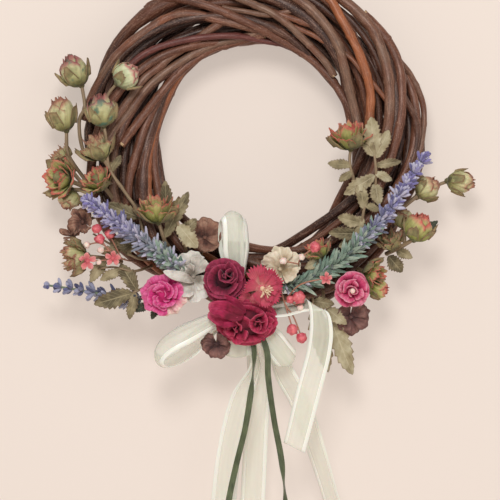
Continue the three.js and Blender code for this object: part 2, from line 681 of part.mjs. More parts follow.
function berries({ stems, beads, stars = [] }) {
  const solids = stems.map((places) => stem(places, 1.3, 1.1, places.length - 1));
  for (const [across, down, out, radius] of beads) {
    const geometry = new THREE.IcosahedronGeometry(radius, 0);
    geometry.translate(...at([across, down, out]).toArray());
    solids.push(solidOf(geometry));
  }
  for (const [across, down, out, radius] of stars) {
    const outline = Array.from({ length: 10 }, (_, k) => {
      const reach = k % 2 ? radius * 0.45 : radius;
      return new THREE.Vector2(reach * Math.sin((Math.PI * k) / 5), reach * Math.cos((Math.PI * k) / 5));
    });
    const star = new THREE.ExtrudeGeometry(new THREE.Shape(outline),
      { depth: STAR_THICK, bevelEnabled: false });
    star.applyMatrix4(facing([across, down, out], [0, 0.1, 1], 0.3));
    solids.push(solidOf(star));
  }
  return join(solids);
}

const CORAL = 0xe86a72;

place('berries_left', CORAL, 0.6, berries({
  stems: [
    [[136, 262, 6], [122, 258, 34], [108, 248, 40], [98, 230, 42]],
    [[122, 258, 34], [112, 250, 38], [100, 243, 40], [88, 245, 36]],
    [[122, 258, 34], [111, 235, 40]],
    [[126, 259, 28], [108, 260, 36], [88, 261, 37]],
    [[112, 251, 39], [102, 250, 39]],
  ],
  beads: [
    [98, 229, 42, 5], [101, 239, 41, 5], [111, 234, 40, 5], [88, 245, 36, 3.6], [102, 250, 39, 3.6],
    [100, 262, 36, 3],
  ],
  stars: [[89, 261, 37, 9], [114, 258, 37, 8]],
}));
place('berries_right_upper', CORAL, 0.6, berries({
  stems: [
    [[304, 273, 8], [299, 268, 32], [300, 258, 50], [313, 248, 55]],
    [[299, 264, 41], [283, 261, 45]],
  ],
  beads: [[314, 247, 55, 5.5], [301, 257, 51, 3.6], [283, 261, 45, 3.8]],
}));
place('berries_right_lower', CORAL, 0.6, berries({
  stems: [
    [[280, 284, 14], [281, 291, 38], [286, 308, 40], [293, 330, 42]],
    [[285, 304, 39.8], [293, 316, 41], [301, 336, 41]],
    [[284, 301, 39.4], [297, 297, 46]],
    [[288, 300, 41], [300, 307, 42]],
  ],
  beads: [[298, 297, 46.5, 6.4], [290, 299, 43, 4.2], [292, 329, 42, 5.6], [301, 337, 41, 5.4],
    [300, 307, 43, 3.4]],
}));

// Ribbons

const ORGANZA = 0xf3efdf;
const SATIN = 0x6d7f58;

// A loop of the bow: out along its front strand and back along the one behind it. The middle of the
// ribbon runs further than its edges, which rounds the end of the loop.
function loop({ knot, end, puff = 8, flare = 1, swing = 0, samples = 8 }) {
  const from = at(knot);
  const along = at(end).sub(from);
  const side = new THREE.Vector3(0, -1, 0).cross(along).normalize();
  const grid = [];
  for (let i = 0; i <= samples; i++) {
    const turn = (2 * Math.PI * i) / samples;
    const reach = (1 - Math.cos(turn)) / 2;
    const half = (RIBBON_WIDTH / 2) * (0.3 + 0.7 * flare * Math.min(1, 1.6 * reach));
    grid.push([-1, 0, 1].map((u) => from.clone()
      .addScaledVector(along, reach * (1 - LOOP_ROUND * u * u))
      .addScaledVector(side, half * u + swing * Math.sin(turn) * along.length())
      .add(new THREE.Vector3(0, -puff * (1 - 0.35 * u * u) * Math.sin(turn), 0))));
  }
  grid[0] = grid[0].map((p) => p.clone().add(new THREE.Vector3(0, -1, 0)));
  grid[samples] = grid[samples].map((p) => p.clone().add(new THREE.Vector3(0, 1, 0)));
  return blade(grid, RIBBON_THICK, RIBBON_THICK);
}

place('organza_bow', ORGANZA, 0.5, (() => {
  const knot = new THREE.IcosahedronGeometry(9, 0);
  knot.scale(1.2, 0.5, 1);
  knot.translate(...at([240, 305, 27]).toArray());
  return join([
    solidOf(knot),
    loop({ knot: [237, 300, 29], end: [233, 211, 42], puff: 7, flare: 1.3 }),
    loop({ knot: [233, 307, 28], end: [157, 368, 36], puff: 9, flare: 1.3, swing: 0.08 }),
    loop({ knot: [239, 311, 27], end: [234, 357, 24], puff: 5, flare: 1.6, samples: 6 }),
    loop({ knot: [248, 309, 27], end: [291, 364, 24], puff: 5, flare: 1, samples: 6 }),
    stem([[241, 290, 6], [241, 305, 26]], 2.4, 2.4, 1, 4),
  ]);
})());
place('organza_tail_front', ORGANZA, 0.5, ribbon([
  [262, 305, 262, 318, 31, 1], [284, 300, 286, 317, 33, 1], [300, 297, 309, 311, 37, 1],
    [307, 301, 327, 312, 48, 1],
  [309, 320, 332, 328, 53, 1], [306, 348, 330, 352, 53, 1], [296, 387, 319, 396, 50, 1],
    [284, 441, 304, 451, 44, 1],
], 12));
place('organza_tail_left', ORGANZA, 0.5, ribbon([
  [235, 310, 245, 310, 22, 0], [240, 322, 252, 322, 11, -0.5], [246, 344, 258, 346, 6, -1],
  [250, 362, 262, 366, 5, -1], [231, 394, 252, 402, 10, -1],
  [218, 445, 241, 450, 10, -1], [212, 500, 236, 502, 10, -1], [210, 530, 234, 520, 10, -1],
], 10));
place('organza_tail_middle', ORGANZA, 0.5, ribbon([
  [240, 311, 250, 311, 18, 0], [242, 321, 254, 321, -1, 0.3], [246, 350, 266, 350, -12, 1],
  [247, 380, 271, 382, -12, 1], [244, 430, 268, 432, -10, 1],
  [241, 500, 265, 502, -10, 1], [240, 522, 264, 532, -10, 1],
], 8));
place('organza_tail_right', ORGANZA, 0.5, ribbon([
  [246, 311, 255, 310, 21, 0], [256, 323, 266, 320, 8, 0.5], [268, 352, 282, 348, 5, 1],
  [275, 376, 293, 370, 6, 1], [291, 404, 309, 398, 10, 1],
  [310, 458, 327, 452, 12, 1], [322, 500, 339, 496, 12, 1], [328, 528, 345, 518, 12, 1],
], 9));

// A narrow satin ribbon: a flat cord with eight sides.
function satin(places, samples) {
  const curve = new THREE.CatmullRomCurve3(places.map(at), false, 'centripetal');
  const outline = new THREE.Shape(circle(
    new THREE.Vector3(), new THREE.Vector3(SATIN_THICK / 2, 0, 0),
      new THREE.Vector3(0, SATIN_WIDTH / 2, 0), 1, 8,
  ).map((p) => new THREE.Vector2(p.x, p.y)));
  const geometry = new THREE.ExtrudeGeometry(outline,
    { steps: samples, extrudePath: curve, bevelEnabled: false });
  return solidOf(geometry);
}

place('satin_left', SATIN, 0.5, satin(
  [[250, 330, 30.5], [254, 350, 34], [253, 372, 34], [246, 423, 30], [236, 465, 28], [229, 498, 28],
    [226, 520, 28]], 10,
));
place('satin_right', SATIN, 0.5, satin(
  [[260, 330, 37], [267, 352, 35], [268, 375, 34], [274, 419, 32], [281, 457, 30], [285, 498, 29],
    [286, 516, 29]], 10,
));

// Leaves

const SAGE = 0x8c8a62;

place('leaf_trefoil_left', SAGE, 0.85, join([
  stem([[160, 278, 4], [148, 286, 20], [137, 291, 27], [133, 293, 27]], 1.6, 1.4, 4),
  leaf({ base: [134, 292.8, 27], tip: [95, 304, 30], width: 17 }),
  leaf({ base: [138, 290.5, 27], tip: [121, 264, 22], width: 15 }),
  leaf({ base: [136, 291.5, 27], tip: [130, 319, 28], width: 10, rows: 5 }),
]));
place('leaves_dark_left', 0x4a5a48, 0.85, join([
  stem([[180, 282, 4], [170, 298, 18], [160, 304, 21], [148, 304, 22]], 1.6, 1.4, 4),
  leaf({ base: [149, 303, 22], tip: [135, 311, 24], width: 9, rows: 4 }),
  leaf({ base: [160, 303, 20], tip: [152, 319, 24], width: 8, rows: 4 }),
]));
place('leaves_behind_lavender', SAGE, 0.85, join([
  stem([[150, 256, 4], [147, 246, 31], [140, 216, 34]], 1.8, 1.4, 5),
  leaf({ base: [140.4, 218, 33.8], tip: [108, 204, 33], width: 14, arch: 0.05 }),
  leaf({ base: [146.6, 244, 31.2], tip: [110, 244, 30], width: 14, arch: 0.05 }),
]));
place('leaves_inner_left', 0xa3a37a, 0.85, join([
  stem([[190, 258, 6], [186, 248, 36], [178, 222, 41]], 1.8, 1.4, 3),
  leaf({ base: [178.6, 225, 40.6], tip: [198, 248, 43], width: 17, arch: 0.12 }),
  leaf({ base: [182, 235, 38.8], tip: [197, 219, 40], width: 12, arch: 0.1, rows: 4 }),
]));

place('leafy_stem_upper_right', 0x9b9870, 0.85, join([
  stem([[372, 218, 4], [374, 196, 28], [375, 170, 36], [373, 152, 36]], 1.8, 1.3, 6),
  leaf({ base: [373, 153, 36], tip: [370, 118, 38], width: 17, arch: 0.08 }),
  leaf({ base: [374, 159, 36], tip: [388, 131, 34], width: 13 }),
  leaf({ base: [374, 157, 36], tip: [360, 138, 36], width: 11, rows: 4 }),
  leaf({ base: [374, 166, 36], tip: [400, 162, 36], width: 9, rows: 4 }),
  leaf({ base: [374, 173, 35], tip: [391, 181, 34], width: 9, rows: 4 }),
  leaf({ base: [374, 176, 35], tip: [343, 195, 38], width: 14 }),
  leaf({ base: [374, 184, 32], tip: [378, 206, 40], width: 13 }),
]));
place('bud_stem_right', 0x8f8a60, 0.85, join([
  ...bud({ base: [350, 150, 34], tip: [347, 122, 40], radius: 15, petalCount: 6, open: 1, sepals: 4,
    spin: 0.3 }),
  stem([[368, 226, 4], [360, 204, 26], [353, 180, 32], [349, 163, 34], [350, 149, 34]], 1.8, 1.5, 6),
  leaf({ base: [351, 166, 34], tip: [327, 164, 34], width: 10, rows: 5 }),
  leaf({ base: [352, 172, 33], tip: [338, 182, 34], width: 8, rows: 4 }),
]));
place('leafy_stem_right', SAGE, 0.85, join([
  stem([[362, 258, 4], [359, 246, 32], [362, 216, 38], [366, 198, 40]], 1.8, 1.4, 5),
  leaf({ base: [363.5, 210, 39], tip: [358, 182, 38], width: 12 }),
  leaf({ base: [364.4, 205, 39], tip: [379, 211, 42], width: 8, rows: 4 }),
  leaf({ base: [362.2, 217, 38], tip: [348, 236, 34], width: 16, arch: 0.03 }),
  leaf({ base: [359.5, 243, 32.5], tip: [338, 246, 30], width: 12, arch: 0.03, rows: 4 }),
]));
place('leaves_low_right', 0x8f8560, 0.85, join([
  stem([[322, 278, 6], [324, 300, 24], [330, 318, 24]], 1.8, 1.4, 4),
  leaf({ base: [328, 314, 24], tip: [352, 374, 26], width: 19, arch: 0.05, wave: 0.25 }),
  leaf({ base: [326, 308, 24], tip: [346, 324, 34], width: 13, arch: 0.15 }),
]));
place('leaf_behind_ribbon', 0x99905f, 0.85, join([
  stem([[312, 284, 4], [312, 296, 16], [314, 304, 20]], 1.6, 1.4, 3),
  leaf({ base: [313, 300, 19], tip: [328, 372, 16], width: 19, arch: -0.04, wave: 0.2 }),
  leaf({ base: [313.5, 301, 18.8], tip: [334, 304, 26], width: 12, arch: 0.15 }),
]));
// Hydrangea: broad thin petals round a small eye.
function hydrangea({ centre, toward, radius, count = 4, spin = 0, root, spread = 0.76 }) {
  const frame = facing(centre, toward, spin);
  return join([
    ...petals(frame, [{
      count, spread, inner: 2.4, outer: radius, low: 0, rise: 3, flare: 0.8, curl: -1, round: 0.24,
        rows: 2, columns: 2,
    }]),
    heart(frame, 4.2, 0.2, 0.7),
    stem([root, centre], 1.6, 1.4, 2, 4),
  ]);
}

place('hydrangea_brown_left', 0x5b4038, 0.9, hydrangea({
  centre: [84, 222, 26], toward: [-0.3, 0, 1], radius: 14, spin: 0.6, root: [104, 214, 6],
}));
place('hydrangea_brown_upper', 0x6a483c, 0.9, hydrangea({
  centre: [205, 236, 30], toward: [0.1, -0.2, 1], radius: 17, spin: 0.2, root: [200, 262, 8],
}));
place('hydrangea_white', 0xcfccbe, 0.9, hydrangea({
  centre: [193, 273, 34], toward: [-0.1, 0, 1], radius: 23, count: 4, spin: 0.15, spread: 0.6,
    root: [193, 264, 6],
}));
place('hydrangea_mauve_low', 0x6f4c46, 0.9, hydrangea({
  centre: [217, 343, 32], toward: [-0.1, 0.3, 1], radius: 15, count: 4, spin: 0.4, root: [221, 326, 32],
}));
place('hydrangea_mauve_right', 0x6b4742, 0.9, hydrangea({
  centre: [350, 316, 24], toward: [0.1, 0.2, 1], radius: 20, count: 4, spin: 0.7, root: [338, 280, 4],
}));
place('flower_cream', 0xddd2ae, 0.85, hydrangea({
  centre: [280, 269, 35], toward: [0.1, 0, 1], radius: 17, count: 5, spin: 0.2, spread: 0.58,
    root: [276, 276, 6],
}));

export default wreath;
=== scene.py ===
# A lavender wreath: willow rods wound into a ring, with cloth flowers, lavender and ribbon at its foot.
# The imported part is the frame. Metres, Z up; it hangs in the XZ plane with its front towards -Y.
import math

import bpy
import numpy as np
from mathutils import Matrix, Vector, noise


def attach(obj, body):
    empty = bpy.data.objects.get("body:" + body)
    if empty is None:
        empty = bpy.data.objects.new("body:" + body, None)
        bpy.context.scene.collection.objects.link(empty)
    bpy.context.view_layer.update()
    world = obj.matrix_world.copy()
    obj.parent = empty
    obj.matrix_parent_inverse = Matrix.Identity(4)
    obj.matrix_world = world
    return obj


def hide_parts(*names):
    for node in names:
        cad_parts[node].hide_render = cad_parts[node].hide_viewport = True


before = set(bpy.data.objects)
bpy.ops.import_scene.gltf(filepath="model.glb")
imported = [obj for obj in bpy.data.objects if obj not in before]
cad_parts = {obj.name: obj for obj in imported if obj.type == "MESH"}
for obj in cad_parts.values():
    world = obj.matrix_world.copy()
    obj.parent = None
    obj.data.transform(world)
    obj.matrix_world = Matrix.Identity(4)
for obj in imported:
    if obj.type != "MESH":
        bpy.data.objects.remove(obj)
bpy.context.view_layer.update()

MM = 0.001

# A place is given as seen from the front: across and down in a view 500 wide and 500 high, at one
# unit to the millimetre, and out towards the viewer from the middle plane of the ring.
NAIL_ACROSS = 254
NAIL_DOWN = 45

RING_RADIUS = 135
RING_DROP = 98.2
RIBBON_WIDTH = 25
RIBBON_THICKNESS = 0.3
SATIN_WIDTH = 6
SATIN_THICKNESS = 0.6
CLOTH_THICKNESS = 0.5

# The wall that the wreath hangs on, and the floor of the room, from the middle plane and the nail.
WALL_BACK = 0.036
FLOOR_DROP = 0.85

random_numbers = np.random.default_rng(11)


def at(place):
    across, down, out = place
    return Vector(((across - NAIL_ACROSS) * MM, -out * MM, (NAIL_DOWN - down) * MM))


def seen_place(point):
    """A point of the wreath as (across, down, out)."""
    return (point.x / MM + NAIL_ACROSS, NAIL_DOWN - point.z / MM, -point.y / MM)


def about(middle, spread):
    """A repeatable random number round a middle value."""
    return middle + spread * (2 * random_numbers.random() - 1)


# The camera

VIEW_DISTANCE = 4.5
VIEW_WIDE = 0.5
VIEW_MIDDLE = (250, 250, 0)
SENSOR_WIDTH = 36


def add_camera():
    lens = bpy.data.cameras.new("front_view")
    lens.sensor_width = SENSOR_WIDTH
    lens.lens = SENSOR_WIDTH * VIEW_DISTANCE / VIEW_WIDE
    camera = bpy.data.objects.new("front_view", lens)
    camera.location = at(VIEW_MIDDLE) - Vector((0, VIEW_DISTANCE, 0))
    camera.rotation_euler = (math.pi / 2, 0, 0)
    bpy.context.scene.collection.objects.link(camera)
    bpy.context.scene.camera = camera


add_camera()


# Lines through places

def centripetal(points, per_span=24):
    """A smooth line through the points, close together."""
    first = points[0] * 2 - points[1]
    last = points[-1] * 2 - points[-2]
    guides = [first, *points, last]
    line = []
    for a, b, c, d in zip(guides, guides[1:], guides[2:], guides[3:]):
        spans = ((a, b), (b, c), (c, d))
        step_ab, step_bc, step_cd = (math.sqrt((q - p).length) or 1e-4 for p, q in spans)
        start = ((b - a) / step_ab - (c - a) / (step_ab + step_bc) + (c - b) / step_bc) * step_bc
        end = ((c - b) / step_bc - (d - b) / (step_bc + step_cd) + (d - c) / step_cd) * step_bc
        for k in range(per_span):
            t = k / per_span
            line.append(b + start * t + (c * 3 - b * 3 - start * 2 - end) * t**2
                        + (b * 2 - c * 2 + start + end) * t**3)
    line.append(points[-1].copy())
    return line


def array_of(points):
    return np.array([p[:] for p in points])


def run_along(places):
    """How far along a line of places each of them lies."""
    return np.concatenate([[0], np.cumsum(np.linalg.norm(np.diff(places, axis=0), axis=1))])


def sampled(line, run, spots):
    """The points of a line where its run, one number for each of its points, takes the given values."""
    places = array_of(line)
    return [Vector(p) for p in np.stack([np.interp(spots, run, places[:, k]) for k in range(3)], axis=1)]


def evenly(line, count):
    """The line as `count` points at equal distances along it."""
    run = run_along(array_of(line))
    return sampled(line, run, np.linspace(0, run[-1], count))


def evenly_by_rows(points, count):
    """The smooth line through the points, with as many steps between each two of them."""
    line = centripetal(points)
    return sampled(line, range(len(line)), np.linspace(0, len(line) - 1, count))


def route(places, count):
    return evenly(centripetal([at(p) for p in places]), count)


def length_of(line):
    return sum((b - a).length for a, b in zip(line, line[1:]))


def sides_of(line, first_side=Vector((0, -1, 0.05))):
    """For each point of a line its direction and two directions across it, which don't twist."""
    side = first_side
    found = []
    for before, after in zip([line[0], *line], [*line[1:], line[-1]]):
        tangent = (after - before).normalized()
        side = (side - tangent * side.dot(tangent)).normalized()
        found.append((tangent, side, tangent.cross(side)))
    return found


# Modelling

patterns = {}


def deselect():
    bpy.ops.object.select_all(action="DESELECT")


def take(piece):
    """Makes the piece the only selected one."""
    deselect()
    piece.select_set(True)
    bpy.context.view_layer.objects.active = piece


def flat_grid(across, along):
    """A flat grid with its UV map, which petals, leaves, ribbons and tubes are bent from."""
    key = (across, along)
    if key not in patterns:
        deselect()
        bpy.ops.mesh.primitive_grid_add(x_subdivisions=across, y_subdivisions=along, size=1, calc_uvs=True)
        patterns[key] = bpy.context.object
        patterns[key].hide_render = True
    return patterns[key]


def copy_of(pattern, name):
    piece = bpy.data.objects.new(name, pattern.data.copy())
    bpy.context.scene.collection.objects.link(piece)
    return piece


def note(piece, name, values):
    """Keeps a number, or three numbers, for each point of a piece, for its finish to read."""
    values = np.asarray(values, dtype=np.float32)
    if values.ndim == 0:
        values = np.full(len(piece.data.vertices), values)
    kind, field = ("FLOAT", "value") if values.ndim == 1 else ("FLOAT_VECTOR", "vector")
    attribute = piece.data.attributes.new(name, kind, "POINT")
    attribute.data.foreach_set(field, np.ascontiguousarray(values).ravel())


def grid_places(pattern):
    """Across from -1 to 1 and along from 0 to 1, for each point of a flat grid."""
    spots = np.empty(len(pattern.data.vertices) * 3, dtype=np.float32)
    pattern.data.vertices.foreach_get("co", spots)
    spots = spots.reshape(-1, 3)
    return 2 * spots[:, 0], spots[:, 1] + 0.5


def bent(name, size, shape, shade=0.5):
    """A copy of the flat grid whose points go where shape(across, along) says."""
    pattern = flat_grid(*size)
    piece = copy_of(pattern, name)
    points = shape(*grid_places(pattern))
    piece.data.vertices.foreach_set("co", np.ascontiguousarray(points, dtype=np.float32).ravel())
    piece.data.update()
    note(piece, "shade", shade)
    return piece


def spread_out(start, *ways):
    """Points that lie off a start by given amounts along given directions."""
    return np.array(start)[None] + sum(np.outer(amount, np.array(way)) for amount, way in ways)


def joined(name, pieces):
    deselect()
    for piece in pieces:
        piece.select_set(True)
    bpy.context.view_layer.objects.active = pieces[0]
    if len(pieces) > 1:
        bpy.ops.object.join()
    pieces[0].name = pieces[0].data.name = name
    return pieces[0]


def thickened(piece, thickness=CLOTH_THICKNESS):
    take(piece)
    wall = piece.modifiers.new("thickness", "SOLIDIFY")
    wall.thickness = thickness * MM
    wall.offset = 0
    bpy.ops.object.modifier_apply(modifier=wall.name)
    return piece


def outward_faces(piece):
    """Closes the seam of a piece that was bent round, and turns all its faces outwards."""
    take(piece)
    bpy.ops.object.mode_set(mode="EDIT")
    bpy.ops.mesh.select_all(action="SELECT")
    bpy.ops.mesh.remove_doubles(threshold=1e-6)
    bpy.ops.mesh.normals_make_consistent(inside=False)
    bpy.ops.object.mode_set(mode="OBJECT")
    return piece


def painted(piece, finish):
    piece.data.materials.clear()
    piece.data.materials.append(finish)
    return piece


def fitted(piece, node, part="look"):
    """The finished piece rides on the wreath and stands for its CAD node."""
    take(piece)
    bpy.ops.object.shade_smooth()
    piece.name = piece.data.name = f"{node}_{part}"
    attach(piece, "root")
    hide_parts(node)


def grown(node, slot, *parts):
    """Joins the parts of one CAD node, single ones and lists of them, and fits them."""
    pieces = []
    for part in parts:
        pieces += part if isinstance(part, list) else [part]
    fitted(joined(node, pieces), node)


STRAIGHT_RADIUS = 0.004
END_ROUNDING = 0.8


def tube(name, line, radii, sides=8, shade=0.5, rough=0.0):
    """A closed round tube. `straight` keeps where each of its points lies when the tube is laid straight."""
    ends = [line[0], line[0], *line, line[-1], line[-1]]
    frames = sides_of(line)
    frames = [frames[0], frames[0], *frames, frames[-1], frames[-1]]
    radii = [0, radii[0] * END_ROUNDING, *radii, radii[-1] * END_ROUNDING, 0]
    size = (sides, len(ends) - 1)
    across, along = grid_places(flat_grid(*size))
    row = np.rint(along * size[1]).astype(int)
    turn = np.pi * across
    run = run_along(array_of(ends))[row]
    reach = np.array(radii)[row] * MM
    if rough:
        lumps = [noise.noise(Vector((math.cos(t) * 1.2, math.sin(t) * 1.2, r * 90 + shade * 50)))
                 for t, r in zip(turn, run)]
        reach = reach * (1 + rough * np.array(lumps))
    side, over = (array_of(f[k] for f in frames)[row] for k in (1, 2))
    right, up = np.cos(turn), np.sin(turn)
    points = array_of(ends)[row] + side * (reach * right)[:, None] + over * (reach * up)[:, None]

    def shape(u, v):
        return points

    piece = bent(name, size, shape, shade)
    note(piece, "straight", np.stack([STRAIGHT_RADIUS * right, STRAIGHT_RADIUS * up, run], axis=1))
    return outward_faces(piece)


STEM_STEP = 3.2
STEM_SIDES = 7


def stem(places, start_radius=1.6, end_radius=1.2):
    line = centripetal([at(p) for p in places])
    count = max(6, int(length_of(line) / (STEM_STEP * MM)))
    radii = np.linspace(start_radius, end_radius, count)
    return painted(tube("stem", evenly(line, count), radii, STEM_SIDES, rough=0.16), STEM_BARK)


# Finishes

def tone(red, green, blue, dim=1.0):
    """A colour as seen, from 0 to 255, in Blender's own light values."""
    shares = [c / 255 for c in (red, green, blue)]
    return (*[dim * (c / 12.92 if c <= 0.04045 else ((c + 0.055) / 1.055) ** 2.4) for c in shares], 1.0)


class Value:
    """A number or a colour that a finish works out for each spot. Numbers can be added, subtracted and
    multiplied."""

    def __init__(self, finish, socket):
        self.finish = finish
        self.socket = socket

    def __add__(self, other):
        return self.finish.sums("ADD", self, other)

    def __sub__(self, other):
        return self.finish.sums("SUBTRACT", self, other)

    def __mul__(self, other):
        return self.finish.sums("MULTIPLY", self, other)


class Finish:
    """A material that its own nodes paint. Its colours are given as tone() takes them."""

    def __init__(self, name, roughness=0.7, **shine):
        self.material = bpy.data.materials.new(name)
        self.material.use_nodes = True
        self.tree = self.material.node_tree
        self.shader = self.tree.nodes["Principled BSDF"]
        self.shader.inputs["Roughness"].default_value = roughness
        for socket, value in shine.items():
            self.shader.inputs[socket.replace("_", " ")].default_value = value

    def feed(self, socket, value):
        if isinstance(value, Value):
            self.tree.links.new(value.socket, socket)
        else:
            socket.default_value = tone(*value) if socket.type == "RGBA" else value

    def made(self, kind, inputs, output=0, **settings):
        """One output of a new node."""
        node = self.tree.nodes.new("ShaderNode" + kind)
        for name, value in settings.items():
            setattr(node, name, value)
        for key, value in inputs.items():
            self.feed(node.inputs[key], value)
        return Value(self, node.outputs[output])

    def place(self):
        return self.made("TexCoord", {}, "Object")

    def across_and_along(self):
        across = self.made("SeparateXYZ", {"Vector": self.made("TexCoord", {}, "UV")}, "X")
        return across, Value(self, across.socket.node.outputs["Y"])

    def number(self, name):
        return self.made("Attribute", {}, "Fac", attribute_name=name)

    def vector(self, name, scale=(1, 1, 1)):
        found = self.made("Attribute", {}, "Vector", attribute_name=name)
        return self.made("Mapping", {"Vector": found, "Scale": scale})

    def noise(self, vector, scale, detail=3.0, roughness=0.5):
        inputs = {"Vector": vector, "Scale": scale, "Detail": detail, "Roughness": roughness}
        return self.made("TexNoise", inputs)

    def sums(self, operation, a, b=0.0):
        return self.made("Math", {0: a, 1: b}, operation=operation)

    def between(self, value, low, high, to_low=0.0, to_high=1.0):
        """The value stretched from one range to another, and held inside it."""
        inputs = {"Value": value, "From Min": low, "From Max": high, "To Min": to_low, "To Max": to_high}
        return self.made("MapRange", inputs)

    def stray(self, value, reach, low=0, high=1):
        """The value spread evenly round nought."""
        return self.between(value, low, high, -reach, reach)

    def ramp(self, value, stops):
        found = self.made("ValToRGB", {"Fac": value})
        elements = found.socket.node.color_ramp.elements
        while len(elements) < len(stops):
            elements.new(0.5)
        for element, (spot, colour) in zip(elements, stops):
            element.position = spot
            element.color = tone(*colour)
        return found

    def mix(self, share, a, b, blend="MIX"):
        return self.made("Mix", {0: share, 6: a, 7: b}, 2, data_type="RGBA", blend_type=blend)

    def done(self, colour, height, strength, distance, roughness=None):
        """The material, with its colour and its relief in millimetres."""
        relief = self.made("Bump", {"Height": height, "Strength": strength, "Distance": distance * MM})
        self.feed(self.shader.inputs["Base Color"], colour)
        self.feed(self.shader.inputs["Normal"], relief)
        if roughness:
            self.feed(self.shader.inputs["Roughness"], roughness)
        return self.material


def bark_finish(name, dark, middle, ashen, warm, pale, speck=0.62):
    """Smooth willow bark: long streaks, warm stretches and pale specks."""
    finish = Finish(name, 0.5)
    streaks = finish.noise(finish.vector("straight", (1, 1, 0.07)), 900, 4, 0.6)
    patches = finish.noise(finish.vector("straight", (0.5, 0.5, 1)), 26, 3)
    specks = finish.noise(finish.vector("straight"), 1300, 1)
    stretch = finish.number("shade") + finish.stray(patches, 0.26)
    ground = finish.ramp(stretch, [
        (0.05, dark), (0.35, middle), (0.55, middle), (0.68, ashen), (0.78, middle), (0.92, warm),
    ])
    ground = finish.mix(finish.between(streaks, 0.42, 0.68, 0, 0.5), ground, dark, "MULTIPLY")
    ground = finish.mix(finish.between(streaks, 0.46, 0.34, 0, 0.2), ground, pale)
    ground = finish.mix(finish.between(specks, speck, speck + 0.08, 0, 0.6), ground, pale)
    worn = finish.between(streaks, 0.2, 0.8, 0.38, 0.62)
    return finish.done(ground, streaks + specks * 0.4, 0.4, 0.5, worn)


ROD_BARK = bark_finish("willow_bark", (54, 26, 18), (112, 66, 46), (124, 94, 76),
                       (166, 96, 56), (200, 164, 142))
WINE_BARK = bark_finish("wine_bark", (58, 24, 22), (102, 48, 42), (108, 60, 52),
                        (132, 66, 50), (178, 132, 120))
STEM_BARK = bark_finish("stem_bark", (104, 84, 62), (156, 134, 106), (150, 132, 108),
                        (158, 118, 90), (196, 176, 146), 0.7)
TEAL_STEM = bark_finish("lavender_stem", (70, 88, 70), (120, 138, 112), (140, 150, 122), (150, 154, 120),
                        (186, 192, 164), 0.7)


def grainy_finish(name, roughness, scale, detail, dark, pale, pale_from, strength, distance, **shine):
    """A plain matt material with a fine grain, paler where it stands up."""
    finish = Finish(name, roughness, **shine)
    grain = finish.noise(finish.place(), scale, detail)
    return finish.done(finish.ramp(grain, [(0.3, dark), (pale_from, pale)]), grain, strength, distance)


CUT_WOOD = grainy_finish("cut_willow", 0.85, 1600, 2, (150, 112, 78), (226, 200, 160), 0.7, 0.8, 0.6)
STAMENS = grainy_finish("cream_stamens", 0.8, 1500, 2, (218, 178, 142), (246, 228, 200), 0.65, 0.8, 0.4)
ORGANZA_KNOT = grainy_finish("organza_knot", 0.5, 300, 3, (206, 198, 178), (242, 238, 226), 0.7, 0.5, 0.8,
                             Sheen_Weight=0.3)


def cloth_finish(name, stops, vein, edge, vein_share=0.3, edge_share=0.3, edge_from=0.93, ribs=7, sheen=0.25,
                 stray=0.08, blot=None):
    """Dyed petal cloth: colour from root to rim, ribs that fan out, and a rim of another colour."""
    finish = Finish(name, 0.8, Sheen_Weight=sheen, Sheen_Roughness=0.4, Subsurface_Weight=0.08,
                    Subsurface_Scale=0.003)
    across, along = finish.across_and_along()
    cloudy = finish.noise(finish.place(), 140, 4)
    fine = finish.noise(finish.place(), 900, 2)
    reach = along + finish.stray(cloudy, stray, 0.25, 0.75) + finish.stray(finish.number("shade"), stray)
    ground = finish.ramp(reach, stops)
    wave = finish.sums("SINE", across * (ribs * 2 * math.pi))
    rib = finish.between(wave + finish.stray(fine, 0.8), 0.3, 1.4)
    ground = finish.mix(rib * vein_share, ground, vein)
    if blot:
        patch = finish.noise(finish.place(), 95, 3)
        ground = finish.mix(finish.between(patch, 0.56, 0.66, 0, 0.7), ground, blot)
    ground = finish.mix(finish.between(cloudy, 0.55, 0.3, 0, 0.35), ground, vein, "MULTIPLY")
    rim = finish.between(along + finish.stray(fine, 0.06), edge_from, edge_from + 0.06)
    ground = finish.mix(rim * edge_share, ground, edge)
    weave = finish.noise(finish.place(), 2600, 1)
    return finish.done(ground, rib * 0.8 + weave * 0.35, 0.4, 0.5)


PLUM_CLOTH = cloth_finish("plum_cloth", [
    (0.1, (44, 4, 22)), (0.45, (92, 10, 42)), (0.75, (134, 22, 60)), (0.97, (156, 44, 80)),
], (60, 6, 28), (190, 80, 112), 0.45, 0.45, 0.94, 8, 0.14, 0.12)
WINE_CLOTH = cloth_finish("wine_cloth", [
    (0.1, (62, 4, 24)), (0.45, (126, 12, 48)), (0.75, (164, 24, 66)), (0.97, (186, 50, 88)),
], (92, 4, 34), (214, 104, 130), 0.45, 0.35, 0.94, 8, 0.14, 0.12)
WINE_FOLD = cloth_finish("wine_fold_cloth", [
    (0.1, (128, 14, 52)), (0.5, (170, 30, 78)), (0.95, (206, 78, 116)),
], (108, 8, 44), (222, 132, 152), 0.4, 0.4, 0.9, 6, 0.08, 0.25)
CRIMSON_CLOTH = cloth_finish("crimson_cloth", [
    (0.05, (228, 164, 156)), (0.24, (210, 106, 118)), (0.6, (202, 80, 106)), (0.95, (188, 50, 84)),
], (150, 22, 58), (222, 120, 138), 0.5, 0.5, 0.94, 9, 0.12, 0.2)
PINK_CLOTH = cloth_finish("pink_cloth", [
    (0.05, (118, 4, 62)), (0.35, (186, 16, 100)), (0.75, (214, 52, 132)), (0.97, (228, 106, 162)),
], (150, 8, 78), (238, 170, 192), 0.4, 0.3, 0.94, 6, 0.1, 0.16)
